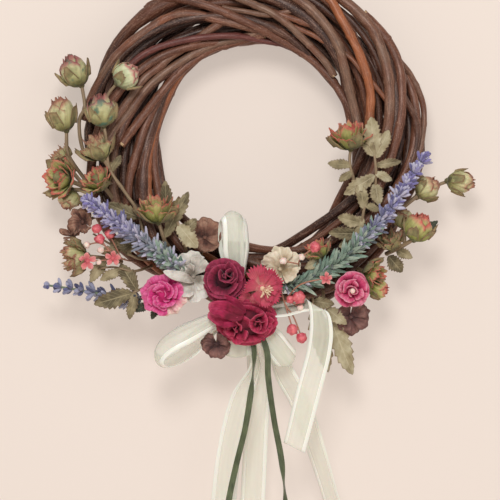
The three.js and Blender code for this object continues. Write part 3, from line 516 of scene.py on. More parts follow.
ROSY_CLOTH = cloth_finish("rosy_cloth", [
    (0.05, (126, 12, 62)), (0.35, (186, 34, 94)), (0.75, (212, 78, 124)), (0.97, (228, 136, 162)),
], (154, 18, 76), (240, 182, 196), 0.4, 0.36, 0.93, 6, 0.12, 0.16)
BLUSH_CLOTH = cloth_finish("blush_cloth", [
    (0.05, (196, 34, 112)), (0.35, (220, 84, 146)), (0.62, (228, 160, 176)),
    (0.95, (232, 212, 198)),
], (216, 74, 136), (238, 224, 212), 0.4, 0.3, 0.94, 6, 0.14, 0.16)
BUD_CLOTH = cloth_finish("bud_cloth", [
    (0.08, (124, 120, 72)), (0.35, (180, 176, 122)), (0.78, (212, 206, 160)), (0.92, (194, 158, 126)),
    (1.0, (160, 104, 88)),
], (124, 116, 72), (146, 104, 80), 0.3, 0.5, 0.95, 5, 0.12)
TEAL_BUD_CLOTH = cloth_finish("teal_bud_cloth", [
    (0.08, (118, 116, 70)), (0.4, (176, 172, 122)), (0.74, (198, 194, 150)), (0.88, (174, 122, 112)),
    (0.98, (152, 84, 86)),
], (122, 114, 70), (130, 86, 70), 0.3, 0.5, 0.94, 5, 0.12, blot=(62, 116, 104))
MINT_CLOTH = cloth_finish("mint_cloth", [
    (0.1, (134, 140, 100)), (0.5, (202, 208, 168)), (0.85, (214, 214, 178)), (0.97, (194, 132, 124)),
], (150, 156, 116), (150, 96, 84), 0.25, 0.5, 0.95, 5, 0.15)
RED_TIP_CLOTH = cloth_finish("red_tip_cloth", [
    (0.05, (92, 100, 40)), (0.35, (150, 154, 78)), (0.8, (192, 188, 122)), (0.93, (206, 150, 118)),
    (1.0, (206, 106, 94)),
], (122, 116, 66), (166, 86, 74), 0.3, 0.5, 0.96, 5, 0.12)
CORAL_HEART = cloth_finish("coral_bud_heart", [
    (0.1, (120, 118, 62)), (0.5, (186, 130, 96)), (0.95, (196, 92, 82)),
], (130, 84, 56), (150, 60, 54), 0.35, 0.5, 0.93, 5, 0.12, blot=(62, 118, 104))
SEPAL_CLOTH = cloth_finish("sepal_cloth", [
    (0.1, (98, 94, 62)), (0.6, (152, 146, 102)), (0.95, (166, 150, 112)),
], (90, 84, 54), (116, 88, 62), 0.3, 0.6, 0.9, 3, 0.1)
BROWN_PETAL = cloth_finish("brown_hydrangea", [
    (0.1, (74, 44, 36)), (0.45, (124, 86, 72)), (0.8, (170, 132, 112)), (0.97, (136, 98, 80)),
], (74, 46, 38), (92, 62, 50), 0.25, 0.5, 0.93, 6, 0.16, 0.22)
MAUVE_PETAL = cloth_finish("mauve_hydrangea", [
    (0.1, (70, 42, 42)), (0.45, (112, 78, 74)), (0.8, (142, 104, 96)), (0.97, (112, 78, 72)),
], (70, 42, 42), (90, 58, 54), 0.25, 0.5, 0.93, 6, 0.16, 0.22)
WHITE_PETAL = cloth_finish("white_hydrangea", [
    (0.1, (150, 142, 130)), (0.4, (198, 192, 183)), (0.95, (228, 224, 217)),
], (160, 154, 146), (206, 200, 186), 0.2, 0.4, 0.95, 6, 0.2, 0.2)
CREAM_PETAL = cloth_finish("cream_petal", [
    (0.1, (164, 146, 116)), (0.4, (216, 202, 176)), (0.95, (240, 230, 210)),
], (186, 168, 138), (208, 186, 160), 0.2, 0.4, 0.95, 6, 0.2, 0.2)
CORAL_CLOTH = cloth_finish("coral_cloth", [
    (0.1, (198, 84, 98)), (0.6, (218, 120, 124)), (0.95, (230, 150, 148)),
], (182, 72, 84), (236, 172, 168), 0.35, 0.4, 0.93, 5)


def leaf_finish(name, dark, middle, pale, vein, edge):
    """A dried cloth leaf: a pale rib, side veins that lean to the tip, and a browned edge."""
    finish = Finish(name, 0.72, Sheen_Weight=0.15, Sheen_Roughness=0.5)
    across, along = finish.across_and_along()
    off_rib = finish.sums("ABSOLUTE", across - 0.5)
    cloudy = finish.noise(finish.place(), 110, 4)
    fine = finish.noise(finish.place(), 1100, 2)
    ground = finish.ramp(cloudy + finish.stray(finish.number("shade"), 0.2),
                         [(0.28, dark), (0.5, middle), (0.75, pale)])
    lean = along * 16 - off_rib * 7
    side_vein = finish.between(finish.sums("SINE", lean * math.pi), 0.82, 1)
    rib = finish.between(off_rib, 0.05, 0.015)
    veins = finish.sums("MAXIMUM", rib, side_vein * 0.6)
    ground = finish.mix(veins * 0.55, ground, vein)
    rim = finish.between(off_rib + finish.stray(fine, 0.06), 0.42, 0.5)
    ground = finish.mix(rim * 0.6, ground, edge)
    return finish.done(ground, veins * -0.8 + fine * 0.4, 0.6, 0.5)


SAGE_LEAF = leaf_finish("sage_leaf", (90, 80, 56), (142, 130, 98), (178, 166, 134),
                        (184, 172, 136), (112, 80, 54))
PALE_LEAF = leaf_finish("pale_sage_leaf", (104, 92, 64), (156, 144, 112), (188, 180, 150),
                        (202, 192, 162), (128, 98, 70))
DARK_LEAF = leaf_finish("dark_leaf", (44, 50, 40), (72, 80, 60), (100, 106, 80),
                        (118, 124, 96), (70, 66, 48))
TEAL_LEAF = leaf_finish("teal_leaf", (90, 124, 110), (132, 160, 144), (180, 194, 178),
                        (200, 208, 196), (142, 158, 140))


def lavender_finish(name, stops, highlight):
    """Flocked buds, coloured by how far along the spike they sit."""
    finish = Finish(name, 0.95, Sheen_Weight=0.5, Sheen_Roughness=0.5)
    flock = finish.noise(finish.place(), 2400, 2)
    ground = finish.ramp(finish.number("climb") + finish.stray(flock, 0.08), stops)
    pick = finish.number("shade") + finish.stray(flock, 0.35)
    ground = finish.mix(finish.between(pick, 0.36, 0.82, 0, 0.9), ground, highlight)
    ground = finish.mix(finish.between(pick, 0.32, 0.02, 0, 0.6), ground, (50, 48, 84))
    return finish.done(ground, flock, 0.9, 0.5)


VIOLET_FLOCK = lavender_finish("violet_flock", [
    (0.0, (80, 106, 94)), (0.2, (116, 134, 130)), (0.42, (130, 134, 160)), (0.6, (130, 124, 176)),
    (1.0, (130, 122, 186)),
], (198, 194, 218))
TEAL_FLOCK = lavender_finish("teal_violet_flock", [
    (0.0, (78, 104, 92)), (0.38, (110, 132, 124)), (0.5, (120, 126, 154)), (0.66, (122, 118, 174)),
    (1.0, (132, 122, 184)),
], (202, 200, 220))
INDIGO_FLOCK = lavender_finish("indigo_flock", [
    (0.0, (66, 74, 72)), (0.25, (76, 80, 112)), (1.0, (92, 96, 146)),
], (178, 180, 206))


def bead_finish(name, ground, blush, pale):
    finish = Finish(name, 0.46, Coat_Weight=0.15, Coat_Roughness=0.3, Subsurface_Weight=0.15,
                    Subsurface_Scale=0.003)
    cloudy = finish.noise(finish.place(), 240, 2)
    fine = finish.noise(finish.place(), 1500, 2)
    blushed = finish.mix(finish.between(cloudy, 0.35, 0.65), ground, blush)
    return finish.done(finish.mix(finish.between(fine, 0.58, 0.7, 0, 0.4), blushed, pale), cloudy, 0.25, 0.6)


CORAL_BEAD = bead_finish("coral_bead", (202, 76, 94), (228, 120, 126), (242, 192, 188))
WHITE_BEAD = bead_finish("white_bead", (236, 226, 214), (242, 206, 196), (250, 246, 240))
PINK_STEM = bead_finish("berry_stem", (150, 106, 86), (174, 120, 100), (206, 166, 140))


THREADS = 60
BAND_FROM, BAND_TO = 0.335, 0.35


def organza_finish():
    """Sheer ribbon with a woven satin band along both edges."""
    finish = Finish("organza", 0.42, Sheen_Weight=0.4, Sheen_Roughness=0.3, Subsurface_Weight=0.1,
                    Subsurface_Scale=0.003)
    across, _ = finish.across_and_along()
    band = finish.between(finish.sums("ABSOLUTE", across - 0.5), BAND_FROM, BAND_TO)
    gather = finish.noise(finish.vector("straight", (1, 0.12, 1)), 170, 1)
    threads = finish.sums("SINE", across * (2 * math.pi * THREADS))
    weft = finish.mix(gather, (238, 240, 226), (255, 255, 248))
    sheer_share = finish.between(gather, 0.25, 0.75, 0.28, 0.42) + finish.stray(threads, 0.02, -1)
    share = finish.sums("MAXIMUM", sheer_share, finish.between(band, 0, 1, 0, 0.97))
    finish.feed(finish.shader.inputs["Alpha"], share)
    return finish.done(finish.mix(band, (240, 242, 228), weft), threads * 0.05 + gather, 0.12, 0.4,
                       finish.between(band, 0, 1, 0.6, 0.34))


ORGANZA = organza_finish()


def satin_finish():
    finish = Finish("green_satin", 0.36, Sheen_Weight=0.3, Sheen_Roughness=0.3)
    grain = finish.noise(finish.vector("straight", (1, 1, 0.04)), 2600, 2)
    cloudy = finish.noise(finish.place(), 60, 2)
    ground = finish.mix(finish.between(grain, 0.3, 0.7), (44, 54, 34), (118, 130, 94))
    ground = finish.mix(finish.between(cloudy, 0.35, 0.65, 0, 0.6), ground, (56, 64, 44))
    return finish.done(ground, grain, 0.3, 0.3, finish.between(grain, 0, 1, 0.28, 0.5))


SATIN = satin_finish()


# The narrow satin ribbons, which hang free

SATIN_ROWS = 90
SATIN_COLUMNS = 9


def satin_ribbon(name, places, twists):
    """A narrow ribbon that shows its edge where it twists: (how far down, how sharply, how far it turns)."""
    line = route(places, SATIN_ROWS)
    length = length_of(line)
    across = np.linspace(-1, 1, SATIN_COLUMNS)
    outline = [(u, 0.8 - 0.3 * u * u) for u in across] + [(u, 0.1 - 0.3 * u * u) for u in -across]
    rows = [[line[0]] * len(outline)]
    for k, (point, (_, side, over)) in enumerate(zip(line, sides_of(line, Vector((0, -1, 0))))):
        turned = sum(turn * math.exp(-((k / SATIN_ROWS - down) / wide) ** 2) for down, wide, turn in twists)
        width = over * math.cos(turned) + side * math.sin(turned)
        front = side * math.cos(turned) - over * math.sin(turned)
        rows.append([point + width * (u * SATIN_WIDTH / 2 * MM) + front * (h * SATIN_THICKNESS * MM)
                     for u, h in outline])
    rows.append([line[-1]] * len(outline))
    run = np.array([0, *np.linspace(0, length, SATIN_ROWS), length])
    size = (len(outline), len(rows) - 1)
    u, v = grid_places(flat_grid(*size))
    row = np.rint(v * size[1]).astype(int)
    column = np.rint((u + 1) / 2 * size[0]).astype(int) % size[0]

    def shape(u, v):
        return array_of(rows[r][c] for r, c in zip(row, column))

    piece = bent(name, size, shape)
    offset = np.array([outline[c][0] for c in column]) * SATIN_WIDTH / 2 * MM
    note(piece, "straight", np.stack([offset, 0 * offset, run[row]], axis=1))
    fitted(painted(outward_faces(piece), SATIN), name)
    round(length_of(line), 3)


satin_ribbon("satin_left", [
    (250, 330, 30.5), (254, 350, 34), (253, 372, 34), (246, 423, 30), (236, 465, 28), (229, 498, 28),
    (226, 520, 28),
], [(0.0, 0.12, 0.7), (0.22, 0.09, 1.35), (0.6, 0.2, -0.35), (1.0, 0.1, 0.5)])
satin_ribbon("satin_right", [
    (260, 330, 37), (267, 352, 35), (268, 375, 34), (274, 419, 32), (281, 457, 30), (285, 498, 29),
    (286, 516, 29),
], [(0.0, 0.1, 0.8), (0.45, 0.2, -0.4), (0.82, 0.1, 1.3)])


# The ring of rods

# Each layer is one line that winds round the bundle `twists` times while it goes round the ring `slots`
# times. Its rods are (first turn, last turn, how much thicker, how warm its bark is); the warmths are kept
# low, partly as painted shade in the gaps between the front rods.
LAYERS = [
    {
        "name": "rod_outer", "slot": "bark_outer", "wide": 32, "deep": 23.4, "slots": 7, "twists": 10,
        "start": 268.7, "lean": 0.25, "butt": 5.3, "tip": 4, "wander": 0.022, "bulge": 4,
        "rods": [(0, 1.62, 0, 0.22), (1.68, 2.88, 0, 0.4), (2.93, 4.6, 0, 0.1), (4.65, 5.9, 0, 0.3),
                 (5.95, 6.7, 1.6, 0.16)],
    },
    {
        "name": "rod_inner", "slot": "bark_inner", "wide": 21.6, "deep": 13, "slots": 9, "twists": 13,
        "start": 295.6, "lean": 0.08, "butt": 4.5, "tip": 3.7, "wander": 0.008, "bulge": 0,
        "rods": [(0, 1.6, 0, 0.1), (1.65, 2.6, 1, 0.3), (2.65, 3.75, 0, 0.05), (3.8, 4.6, 0.6, 0.3),
                 (4.65, 5.8, 0, 0.8), (5.85, 7.6, 0, 0.1), (7.65, 8.95, 0, 0.3)],
    },
    {
        "name": "rod_core", "slot": "bark_core", "wide": 11, "deep": 4, "slots": 2, "twists": 3,
        "start": 200, "lean": 0, "butt": 3.5, "tip": 3.2, "wander": 0, "bulge": 0,
        "rods": [(0, 1.95, 0, 0.2)],
    },
]
STEPS_PER_TURN = 84
ROD_SIDES = 14

# The part's own draws: the next is the one before times the first number, plus the second, in this range.
DRAW_TIMES, DRAW_PLUS, DRAW_RANGE = 1664525, 1013904223, 4294967296
draw = [7]


def chance():
    """The part's own repeatable draw, from -1 to 1, so that each rod wanders as its solid does."""
    draw[0] = (draw[0] * DRAW_TIMES + DRAW_PLUS) % DRAW_RANGE
    return draw[0] / DRAW_RANGE * 2 - 1


def knot(turn):
    """How far a rod swells at a knot, from 0 to 1, as it turns."""
    return max(0, math.sin(turn) - 0.93) / 0.07


def sway(around):
    """How far the bundle's middle strays outwards and forwards at a turn of the ring."""
    return 1.5 * math.sin(2 * around + 1) + math.sin(5 * around), 1.2 * math.sin(3 * around)


def in_ring(around, outward, forward):
    """A point of the bundle, from how far round the ring it is, and out and forward of its middle."""
    sway_out, sway_forward = sway(around)
    radius = RING_RADIUS + outward + sway_out
    down = radius * math.cos(around) - RING_DROP
    return Vector((radius * math.sin(around), -(forward + sway_forward), down)) * MM


def oval(wide, deep):
    """A function from a share of an oval's rim to its place."""
    angles = np.linspace(0, 2 * math.pi, 1441)
    rim = np.stack([wide * np.cos(angles), deep * np.sin(angles)], axis=1)
    shares = run_along(rim)
    shares /= shares[-1]

    def place(share):
        return [np.interp(share % 1, shares, rim[:, k]) for k in (0, 1)]

    return place


def add_rod(layer, number, span, section):
    first, last, thicker, warmth = span
    phase = math.pi * chance()
    count = int((last - first) * STEPS_PER_TURN)
    line, radii = [], []
    for share in np.arange(count + 1) / count:
        turns = first + (last - first) * share
        around = math.radians(layer["start"]) + 2 * math.pi * turns
        wander = layer["wander"] * math.sin(5 * turns + phase)
        bulge = layer["bulge"] * max(0, math.sin(4.4 * turns + 2 * phase)) ** 2
        x, y = section(layer["lean"] + turns * layer["twists"] / layer["slots"] + wander)
        swell = 1 + bulge / math.hypot(x, y)
        line.append(in_ring(around, x * swell, y * swell))
        thick = thicker + layer["butt"] + (layer["tip"] - layer["butt"]) * share
        uneven = 0.05 * noise.noise(Vector((turns * 9, phase, 0)))
        radii.append(thick * (0.93 + uneven + 0.28 * knot(turns * 23 + phase * 5)))
    name = f"{layer['name']}_{number}"
    piece = painted(tube(name, line, radii, ROD_SIDES, warmth, 0.08), ROD_BARK)
    vary = np.array([noise.noise(v.co * 9 + Vector((phase, 0, 0))) for v in piece.data.vertices])
    piece.data.attributes["shade"].data.foreach_set("value", (warmth + 0.3 * vary).astype(np.float32))
    cut_ends(piece, line, layer["tip"])
    fitted(piece, name)


def cut_ends(piece, line, radius):
    """Bare, frayed wood where a rod was cut."""
    piece.data.materials.append(CUT_WOOD)
    for face in piece.data.polygons:
        reach = 0.75 * radius * (1 + 0.5 * noise.noise(face.center * 700)) * MM
        if min((face.center - end).length for end in (line[0], line[-1])) < reach:
            face.material_index = 1


TWIG_ROWS = 80


def twig(wide, deep, twist, thick, warmth, start, turns):
    """A thin twig that winds through the bundle, in its own oval round the bundle's middle."""
    phase = about(0, math.pi)
    line = []
    for run in 2 * math.pi * turns * np.linspace(0, 1, TWIG_ROWS):
        turn = phase + twist * run
        line.append(in_ring(start + run, wide * math.cos(turn), deep * math.sin(turn)))
    return tube("twig", line, np.linspace(thick, 0.7 * thick, TWIG_ROWS), 9, warmth, 0.15)


DEEP_TWIGS = 15


def twigs():
    """Thin twigs: dark ones that fill the gaps deep in the bundle, their dark bark partly painted shade
    there, and two across its lower front.
    """
    made = []
    for _ in range(DEEP_TWIGS):
        # The deep twigs' low warmth gives them the darkest bark: partly their own tone, partly painted shade
        # in the gaps.
        made.append(twig(about(18, 7), about(10, 4), about(1.6, 1.6), about(2.4, 0.5), about(0.08, 0.08),
                         about(0, math.pi), about(0.8, 0.2)))
    for start, twist, warmth in ((1.9, 0.7, 0.6), (-2.4, 0.8, 0.9)):
        made.append(twig(29.5, 22, twist, 3.3, warmth, start, 0.4))
    return painted(joined("twigs", made), ROD_BARK)


fitted(twigs(), "rod_core_1", "twigs")

# The rods that cross the front of the bundle, as (thickness, how far they stand out, warmth, places), and
# the dark red one along the inner rim.
FRONT_RODS = [
    (4.7, 5.5, 0.76, [(84, 120), (92, 97), (116, 58), (141, 36), (171, 18), (189, 15), (223, 22),
        (258, 30)]),
    (4.4, 9, 0.3, [(146, 10), (156, 3), (172, -1), (197, 4), (223, 13), (243, 22), (262, 31), (282, 42),
        (300, 52), (318, 66), (334, 84), (346, 104), (352, 128)]),
    (4.5, 4, 0.74, [(104, 140), (116, 121), (130, 100), (144, 80), (160, 67), (171, 57), (189, 46),
        (206, 34), (226, 20)]),
    (4, 5, 0.66, [(106, 146), (117, 129), (130, 113), (144, 93), (160, 77), (180, 63), (201, 51),
        (222, 43), (244, 38), (262, 32)]),
    (4.5, 5.5, 0.4, [(122, 146), (135, 128), (150, 108), (165, 89), (178, 74), (195, 60), (214, 49),
        (240, 42), (264, 35)]),
    (4.6, 2, 0.3, [(196, 50), (180, 66), (160, 98), (146, 125), (138, 150), (130, 180), (128, 206)]),
    (3.8, 3, 0.12, [(190, 58), (174, 76), (158, 110), (147, 143), (141, 170), (139, 200)]),
    (4.2, 2.5, 0.9, [(190, 62), (176, 80), (160, 116), (150, 150), (148, 185), (150, 206)]),
    (4.2, 2, 0.4, [(196, 60), (180, 76), (164, 108), (156, 133), (154, 157), (158, 190), (164, 212)]),
    (5, 7.5, 0.67, [(248, -22), (276, -14), (297, 0), (314, 14), (327, 29), (338, 48), (344, 69),
        (349, 90), (356, 118), (362, 142)]),
    (4.8, 6.5, 0.9, [(266, -25), (292, -22), (312, -14), (329, 0), (340, 19), (350, 37), (360, 58),
        (366, 76), (370, 96), (369, 118), (366, 146)]),
    (5.6, 6, 0.6, [(284, -24), (312, -18), (337, -3), (359, 15), (373, 32), (381, 51), (387, 74),
        (389, 100), (387, 128), (378, 160), (368, 186)]),
    (5.2, 5, 0.4, [(362, 14), (378, 30), (391, 48), (399, 70), (401, 94), (400, 118), (395, 141),
        (388, 164), (378, 188)]),
    (3.2, 3, 0.62, [(398, 60), (411, 76), (419, 92), (423.5, 108), (423.5, 126), (420, 148), (412, 174),
        (400, 196)]),
    (3.4, 4, 0.2, [(400, 92), (408, 106), (415, 121), (416, 143), (408, 170)]),
    (3.8, 6.5, 0.7, [(204, -16), (224, -8), (240, 0), (254, 6), (271, 14), (287, 25), (301, 38),
        (314, 51), (326, 64), (334, 77)]),
    (3, 4, 0.64, [(222, 9), (240, 12), (269, 16), (291, 12), (311, 10)]),
    (3.4, 4.5, 0.8, [(264, 10), (283, 17), (301, 23), (322, 31), (340, 46)]),
    (3.8, 0.5, 0.2, [(304, 298), (322, 290), (341, 277), (358, 262), (376, 244), (394, 221), (407, 194)]),
    (2.7, 4.5, 0.82, [(292, 27), (314, 37), (331, 47), (349, 58), (361, 72), (377, 90), (388, 104)]),
]
WINE_ROD = (3.4, 9.5, 0.4, [
    (130, 67), (141, 58), (158, 49), (183, 42), (208, 38), (237, 37), (261, 41), (283, 45), (302, 54),
    (318, 66),
])


# How far the front rods settle between the rods that they lie on.
SETTLE = 3


def on_bundle(across, down, stand_out):
    """A place on the front of the bundle, so far out from the middle of its outermost rods."""
    outer = LAYERS[0]
    x = across - NAIL_ACROSS
    z = NAIL_DOWN + RING_DROP - down
    sway_out, sway_forward = sway(math.atan2(x, z))
    outward = math.hypot(x, z) - RING_RADIUS - sway_out
    deep = outer["deep"] * math.sqrt(max(0, 1 - (outward / (outer["wide"] + outer["bulge"])) ** 2))
    return (across, down, deep + sway_forward + stand_out - SETTLE)


def front_rod(thick, stand_out, warmth, places, finish=ROD_BARK):
    line = route([on_bundle(across, down, stand_out) for across, down in places], 9 * len(places))
    phase = about(0, 3)
    radii = []
    for k in range(len(line)):
        uneven = 0.07 * noise.noise(Vector((k * 0.2, phase, 0)))
        radii.append(thick * (0.96 + uneven + 0.14 * knot(k * 0.34 + phase)))
    rod = painted(tube("front_rod", line, radii, ROD_SIDES, warmth, 0.1), finish)
    cut_ends(rod, line, 1.1 * thick)
    return rod


fitted(joined("front_rods", [front_rod(*rod) for rod in FRONT_RODS] + [front_rod(*WINE_ROD, WINE_BARK)]),
       "rod_outer_1", "front")

for ring_layer in LAYERS:
    rim_of_layer = oval(ring_layer["wide"], ring_layer["deep"])
    for rod_number, rod_span in enumerate(ring_layer["rods"], 1):
        add_rod(ring_layer, rod_number, rod_span, rim_of_layer)


# Petals and blooms

def facing(centre, toward, spin=0.0):
    """The placement of a bloom: its centre, and the way that it faces as (across, down, out)."""
    up = Vector((toward[0], -toward[2], -toward[1])).normalized()
    right = Vector((0, 0, 1)).cross(up).normalized()
    over = up.cross(right)
    turned = Matrix((right, over, up)).transposed().to_4x4() @ Matrix.Rotation(spin, 4, "Z")
    turned.translation = at(centre)
    return turned


def carried(points, placement):
    """Millimetre points in a bloom's own frame, as points of the wreath."""
    turned = np.array(placement)
    return points * MM @ turned[:3, :3].T + turned[:3, 3]


def petal(placement, angle, spread, inner, outer, low=0.0, rise=0.0, flare=1.0, curl=0.0, drift=0.0,
          round_by=0.25, fringe=0.0, teeth=0, ruffle=0.0, lip=0.0, dent=0.0, ragged=0.0, crumple=0.0,
          size=(12, 10), shade=0.5):
    """One cupped petal round the axis of its bloom."""
    phase = about(0, 3)

    def shape(u, v):
        saw = np.abs((u * teeth + 0.5) % 1 - 0.5) * 2 if teeth else 0
        torn = ragged * (np.sin(6 * u + phase) + 0.8 * np.sin(13 * u + 3 * phase)) * v**4
        reach = v * (1 - round_by * np.abs(u) ** 2.4 - dent * (1 - u * u) ** 4 - fringe * saw * v**6) + torn
        edge = np.clip((v - 0.6) / 0.4, 0, 1) ** 2
        radius = inner + (outer - inner) * np.clip(reach, 0, 2) ** flare + drift * u + lip * edge
        waved = np.sin(3.2 * u + phase) * reach**2 + 0.4 * np.sin(8 * u + 2 * phase) * reach**3
        fold = crumple * reach * (np.sin(5 * u + 5 * v + phase) + 0.6 * np.sin(11 * u - 8 * v + 2 * phase))
        height = low + rise * reach - curl * reach**3 - 0.5 * lip * edge + ruffle * waved + fold
        stray = 0.02 * np.sin(5 * v + phase) + 0.03 * crumple * reach * np.sin(9 * v + phase)
        turn = angle + spread * u + stray
        return carried(np.stack([radius * np.cos(turn), radius * np.sin(turn), height], axis=1), placement)

    return bent("petal", size, shape, shade)


def tilted(placement, wobble, shift=0.0):
    """A placement that is a little off, as no two petals sit alike."""
    shifted = Vector((about(0, shift), about(0, shift), about(0, shift / 2))) * MM
    moved = placement @ Matrix.Translation(shifted)
    return moved @ Matrix.Rotation(about(0, wobble), 4, "X") @ Matrix.Rotation(about(0, wobble), 4, "Y")


# What the numbers of a ring of petals are. Those left out at its end are as ring_of_petals() and petal()
# have them.
RING_NUMBERS = ("count", "turn", "spread", "inner", "outer", "low", "rise", "flare", "curl", "drift", "lip",
                "ruffle", "shade", "wobble", "shift")


def petal_rings(rows, **shared):
    """Rings of petals from the heart outwards, each a row of RING_NUMBERS, with what they share."""
    return [{**dict(zip(RING_NUMBERS, row)), **shared} for row in rows]


def ring_of_petals(placement, count, outer, turn=0.0, shade=0.5, wobble=0.05, shift=0.0, **form):
    found = []
    for k in range(count):
        angle = turn + 2 * math.pi * k / count + about(0, 0.12)
        found.append(petal(tilted(placement, wobble, shift), angle, outer=outer * about(1, 0.06),
                           shade=about(shade, 0.3), **form))
    return found


def bloom_of(placement, rings, finish, thickness=CLOTH_THICKNESS):
    petals = [p for form in rings for p in ring_of_petals(placement, **form)]
    return painted(thickened(joined("petals", petals), thickness), finish)


def fan_of(placement, turns, finish, wobble=0.08, **form):
    """Petals at given turns, each with its own reach: (degrees from the right, reach)."""
    petals = []
    for turn, reach in turns:
        place = tilted(placement, wobble)
        petals.append(petal(place, math.radians(turn), outer=reach, shade=about(0.5, 0.45), **form))
    return painted(thickened(joined("petals", petals)), finish)


def heart(placement, radius, height, squash, finish, shade=0.2):
    """The closed middle of a bloom, under its petals."""
    deselect()
    bpy.ops.mesh.primitive_ico_sphere_add(subdivisions=3, radius=1)
    piece = bpy.context.object
    piece.data.transform(placement @ Matrix.Translation((0, 0, height * MM))
                         @ Matrix.Diagonal((radius * MM, radius * MM, radius * squash * MM, 1)))
    note(piece, "shade", shade)
    return painted(piece, finish)


BURGUNDY_PETAL = {"size": (20, 16), "crumple": 0.35, "shift": 0.7}


def rose_burgundy_upper():
    place = facing((225, 281, 40), (-0.12, -0.18, 1))
    middle = facing((228, 279, 41), (0.1, -0.25, 1))
    whorl = petal_rings([
        (4, 0.3, 0.9, 0.6, 3.4, 5, 14, 1, 0, -0.4, 0.6, 1, 0.1, 0.3),
        (4, 1.1, 0.9, 1.6, 6.6, 4, 16.5, 0.8, 0, 0.6, 1.8, 1.8, 0.2, 0.3),
        (4, 0.2, 0.86, 2.6, 9.8, 3, 16, 0.75, 0, -0.8, 2.4, 2.2, 0.25, 0.28),
    ], **BURGUNDY_PETAL)
    around = petal_rings([
        (4, 0.4, 1.02, 4, 14, 2, 15, 0.7, 1, 1.8, 3.2, 1.8, 0.35, 0.2),
        (4, 1.3, 1.05, 4.6, 17.5, 1.5, 12.5, 0.66, 3, 1.8, 3, 2.2, 0.5, 0.14),
        (5, 0.6, 0.88, 5.5, 20.5, 1, 9, 0.66, 4, 1.6, 2, 2.2, 0.65, 0.1),
    ], **BURGUNDY_PETAL)
    grown("rose_burgundy_upper", "cloth_plum", bloom_of(middle, whorl, PLUM_CLOTH),
          bloom_of(place, around, PLUM_CLOTH), heart(place, 9, 4.4, 0.8, PLUM_CLOTH),
          stem([(224, 268, 10), (225, 281, 38), (225, 281, 42)], 2, 2.6))


def rose_burgundy_lower():
    left = facing((238, 325, 40), (-0.2, 0.35, 1), 0.8)
    right = facing((258, 320, 40), (0.25, 0.25, 1), 0.2)
    whole = facing((246, 321, 36), (0, 0.15, 1)) @ Matrix.Diagonal((1.35, 1, 1, 1))
    whorl = petal_rings([
        (3, 0.2, 1.1, 0.8, 3.4, 4, 13, 1, 0, -0.4, 0.6, 1, 0.15, 0.3),
        (4, 1.4, 0.9, 2, 7, 3, 14, 0.8, 0, 0.7, 2, 2.2, 0.3, 0.34),
        (3, 2.2, 1.05, 3.2, 10.4, 3, 12.5, 0.75, 0, -0.9, 2.6, 2.8, 0.45, 0.3),
    ], **BURGUNDY_PETAL)
    around = petal_rings([
        (4, 0.3, 0.98, 7, 14.5, 2, 14, 0.7, 1, 1.6, 2.8, 2.2, 0.5, 0.16),
        (5, 0.8, 0.86, 8, 18, 1, 11.5, 0.7, 3, 1.6, 2.8, 2.4, 0.6, 0.12),
        (6, 0.4, 0.7, 9, 21.5, 0, 8.5, 0.7, 4.5, 1.4, 2, 2.4, 0.65, 0.08),
    ], **BURGUNDY_PETAL)
    folds = leaves([
        ((244, 316, 53), (209, 304, 50), 17, 0.22, 0.6, 0.35, 0, 0.8, (14, 34)),
        ((246, 312, 52), (218, 296, 46), 14, 0.2, 0.6, -0.3, 0, 0.8, (14, 34)),
        ((242, 322, 48), (208, 314, 44), 16, 0.25, 0.6, -0.3, 0, 0.8, (14, 34)),
    ], WINE_FOLD)
    grown("rose_burgundy_lower", "cloth_wine", bloom_of(left, whorl, WINE_CLOTH),
          bloom_of(right, whorl, WINE_CLOTH), bloom_of(whole, around, WINE_CLOTH), folds,
          heart(whole, 13, 5, 0.7, WINE_CLOTH), heart(right, 6, 4, 1, WINE_CLOTH),
          stem([(244, 296, 8), (246, 312, 26), (246, 320, 36)], 2.2, 2.8))


def flower_crimson():
    place = facing((262, 288, 50), (0.25, 0.1, 1))
    under = facing((256, 298, 44), (-0.1, 0.5, 1))
    fringed = {"fringe": 0.17, "teeth": 3.5, "round_by": 0.1, "ragged": 0.02, "flare": 0.9, "drift": 1,
               "size": (28, 16)}
    grown(
        "flower_crimson", "cloth_crimson",
        fan_of(place, [(116, 26), (62, 22), (18, 21), (-38, 20), (-86, 19), (164, 20)], CRIMSON_CLOTH, 0.12,
               spread=0.5, inner=2.6, low=1, rise=8, curl=1.5, ruffle=1.6, **fringed),
        fan_of(place, [(92, 18), (40, 16), (-10, 15), (-62, 14), (-130, 16)], CRIMSON_CLOTH, 0.16,
               spread=0.42, inner=2.4, low=2, rise=9, curl=0.5, ruffle=1.3, **fringed),
        fan_of(under, [(-60, 20), (-105, 19), (-150, 21), (160, 18), (-20, 19), (20, 16)], CRIMSON_CLOTH,
               0.14, spread=0.52, inner=3, rise=5, curl=2, ruffle=1.6, **fringed),
        heart(place, 7.5, -2, 0.8, CRIMSON_CLOTH), heart(under, 7, 1, 0.8, CRIMSON_CLOTH),
        stem([(262, 274, 10), (261, 282, 30), (262, 288, 48)], 2, 2.6),
    )


STAMEN_COUNT = 24


def stamens_crimson():
    place = facing((262, 288, 52), (0.25, 0.1, 1))
    pieces = [heart(place, 2.6, 1.2, 1, STAMENS)]
    for k in range(STAMEN_COUNT):
        angle = about(-0.5, 1.5)
        reach = 2 + 0.34 * k
        top = about(11.5, 1) - 0.16 * k
        course = []
        for share, height in ((0.15, 1), (0.4, 8), (1, top)):
            away = share * reach
            course.append(place @ (Vector((away * math.cos(angle), away * math.sin(angle), height)) * MM))
        thread = tube("stamen", evenly(centripetal(course), 8), [0.25] * 6 + [0.6, 0.7], 6)
        pieces.append(painted(thread, STAMENS))
    grown("stamens_crimson", "stamens_cream", pieces)


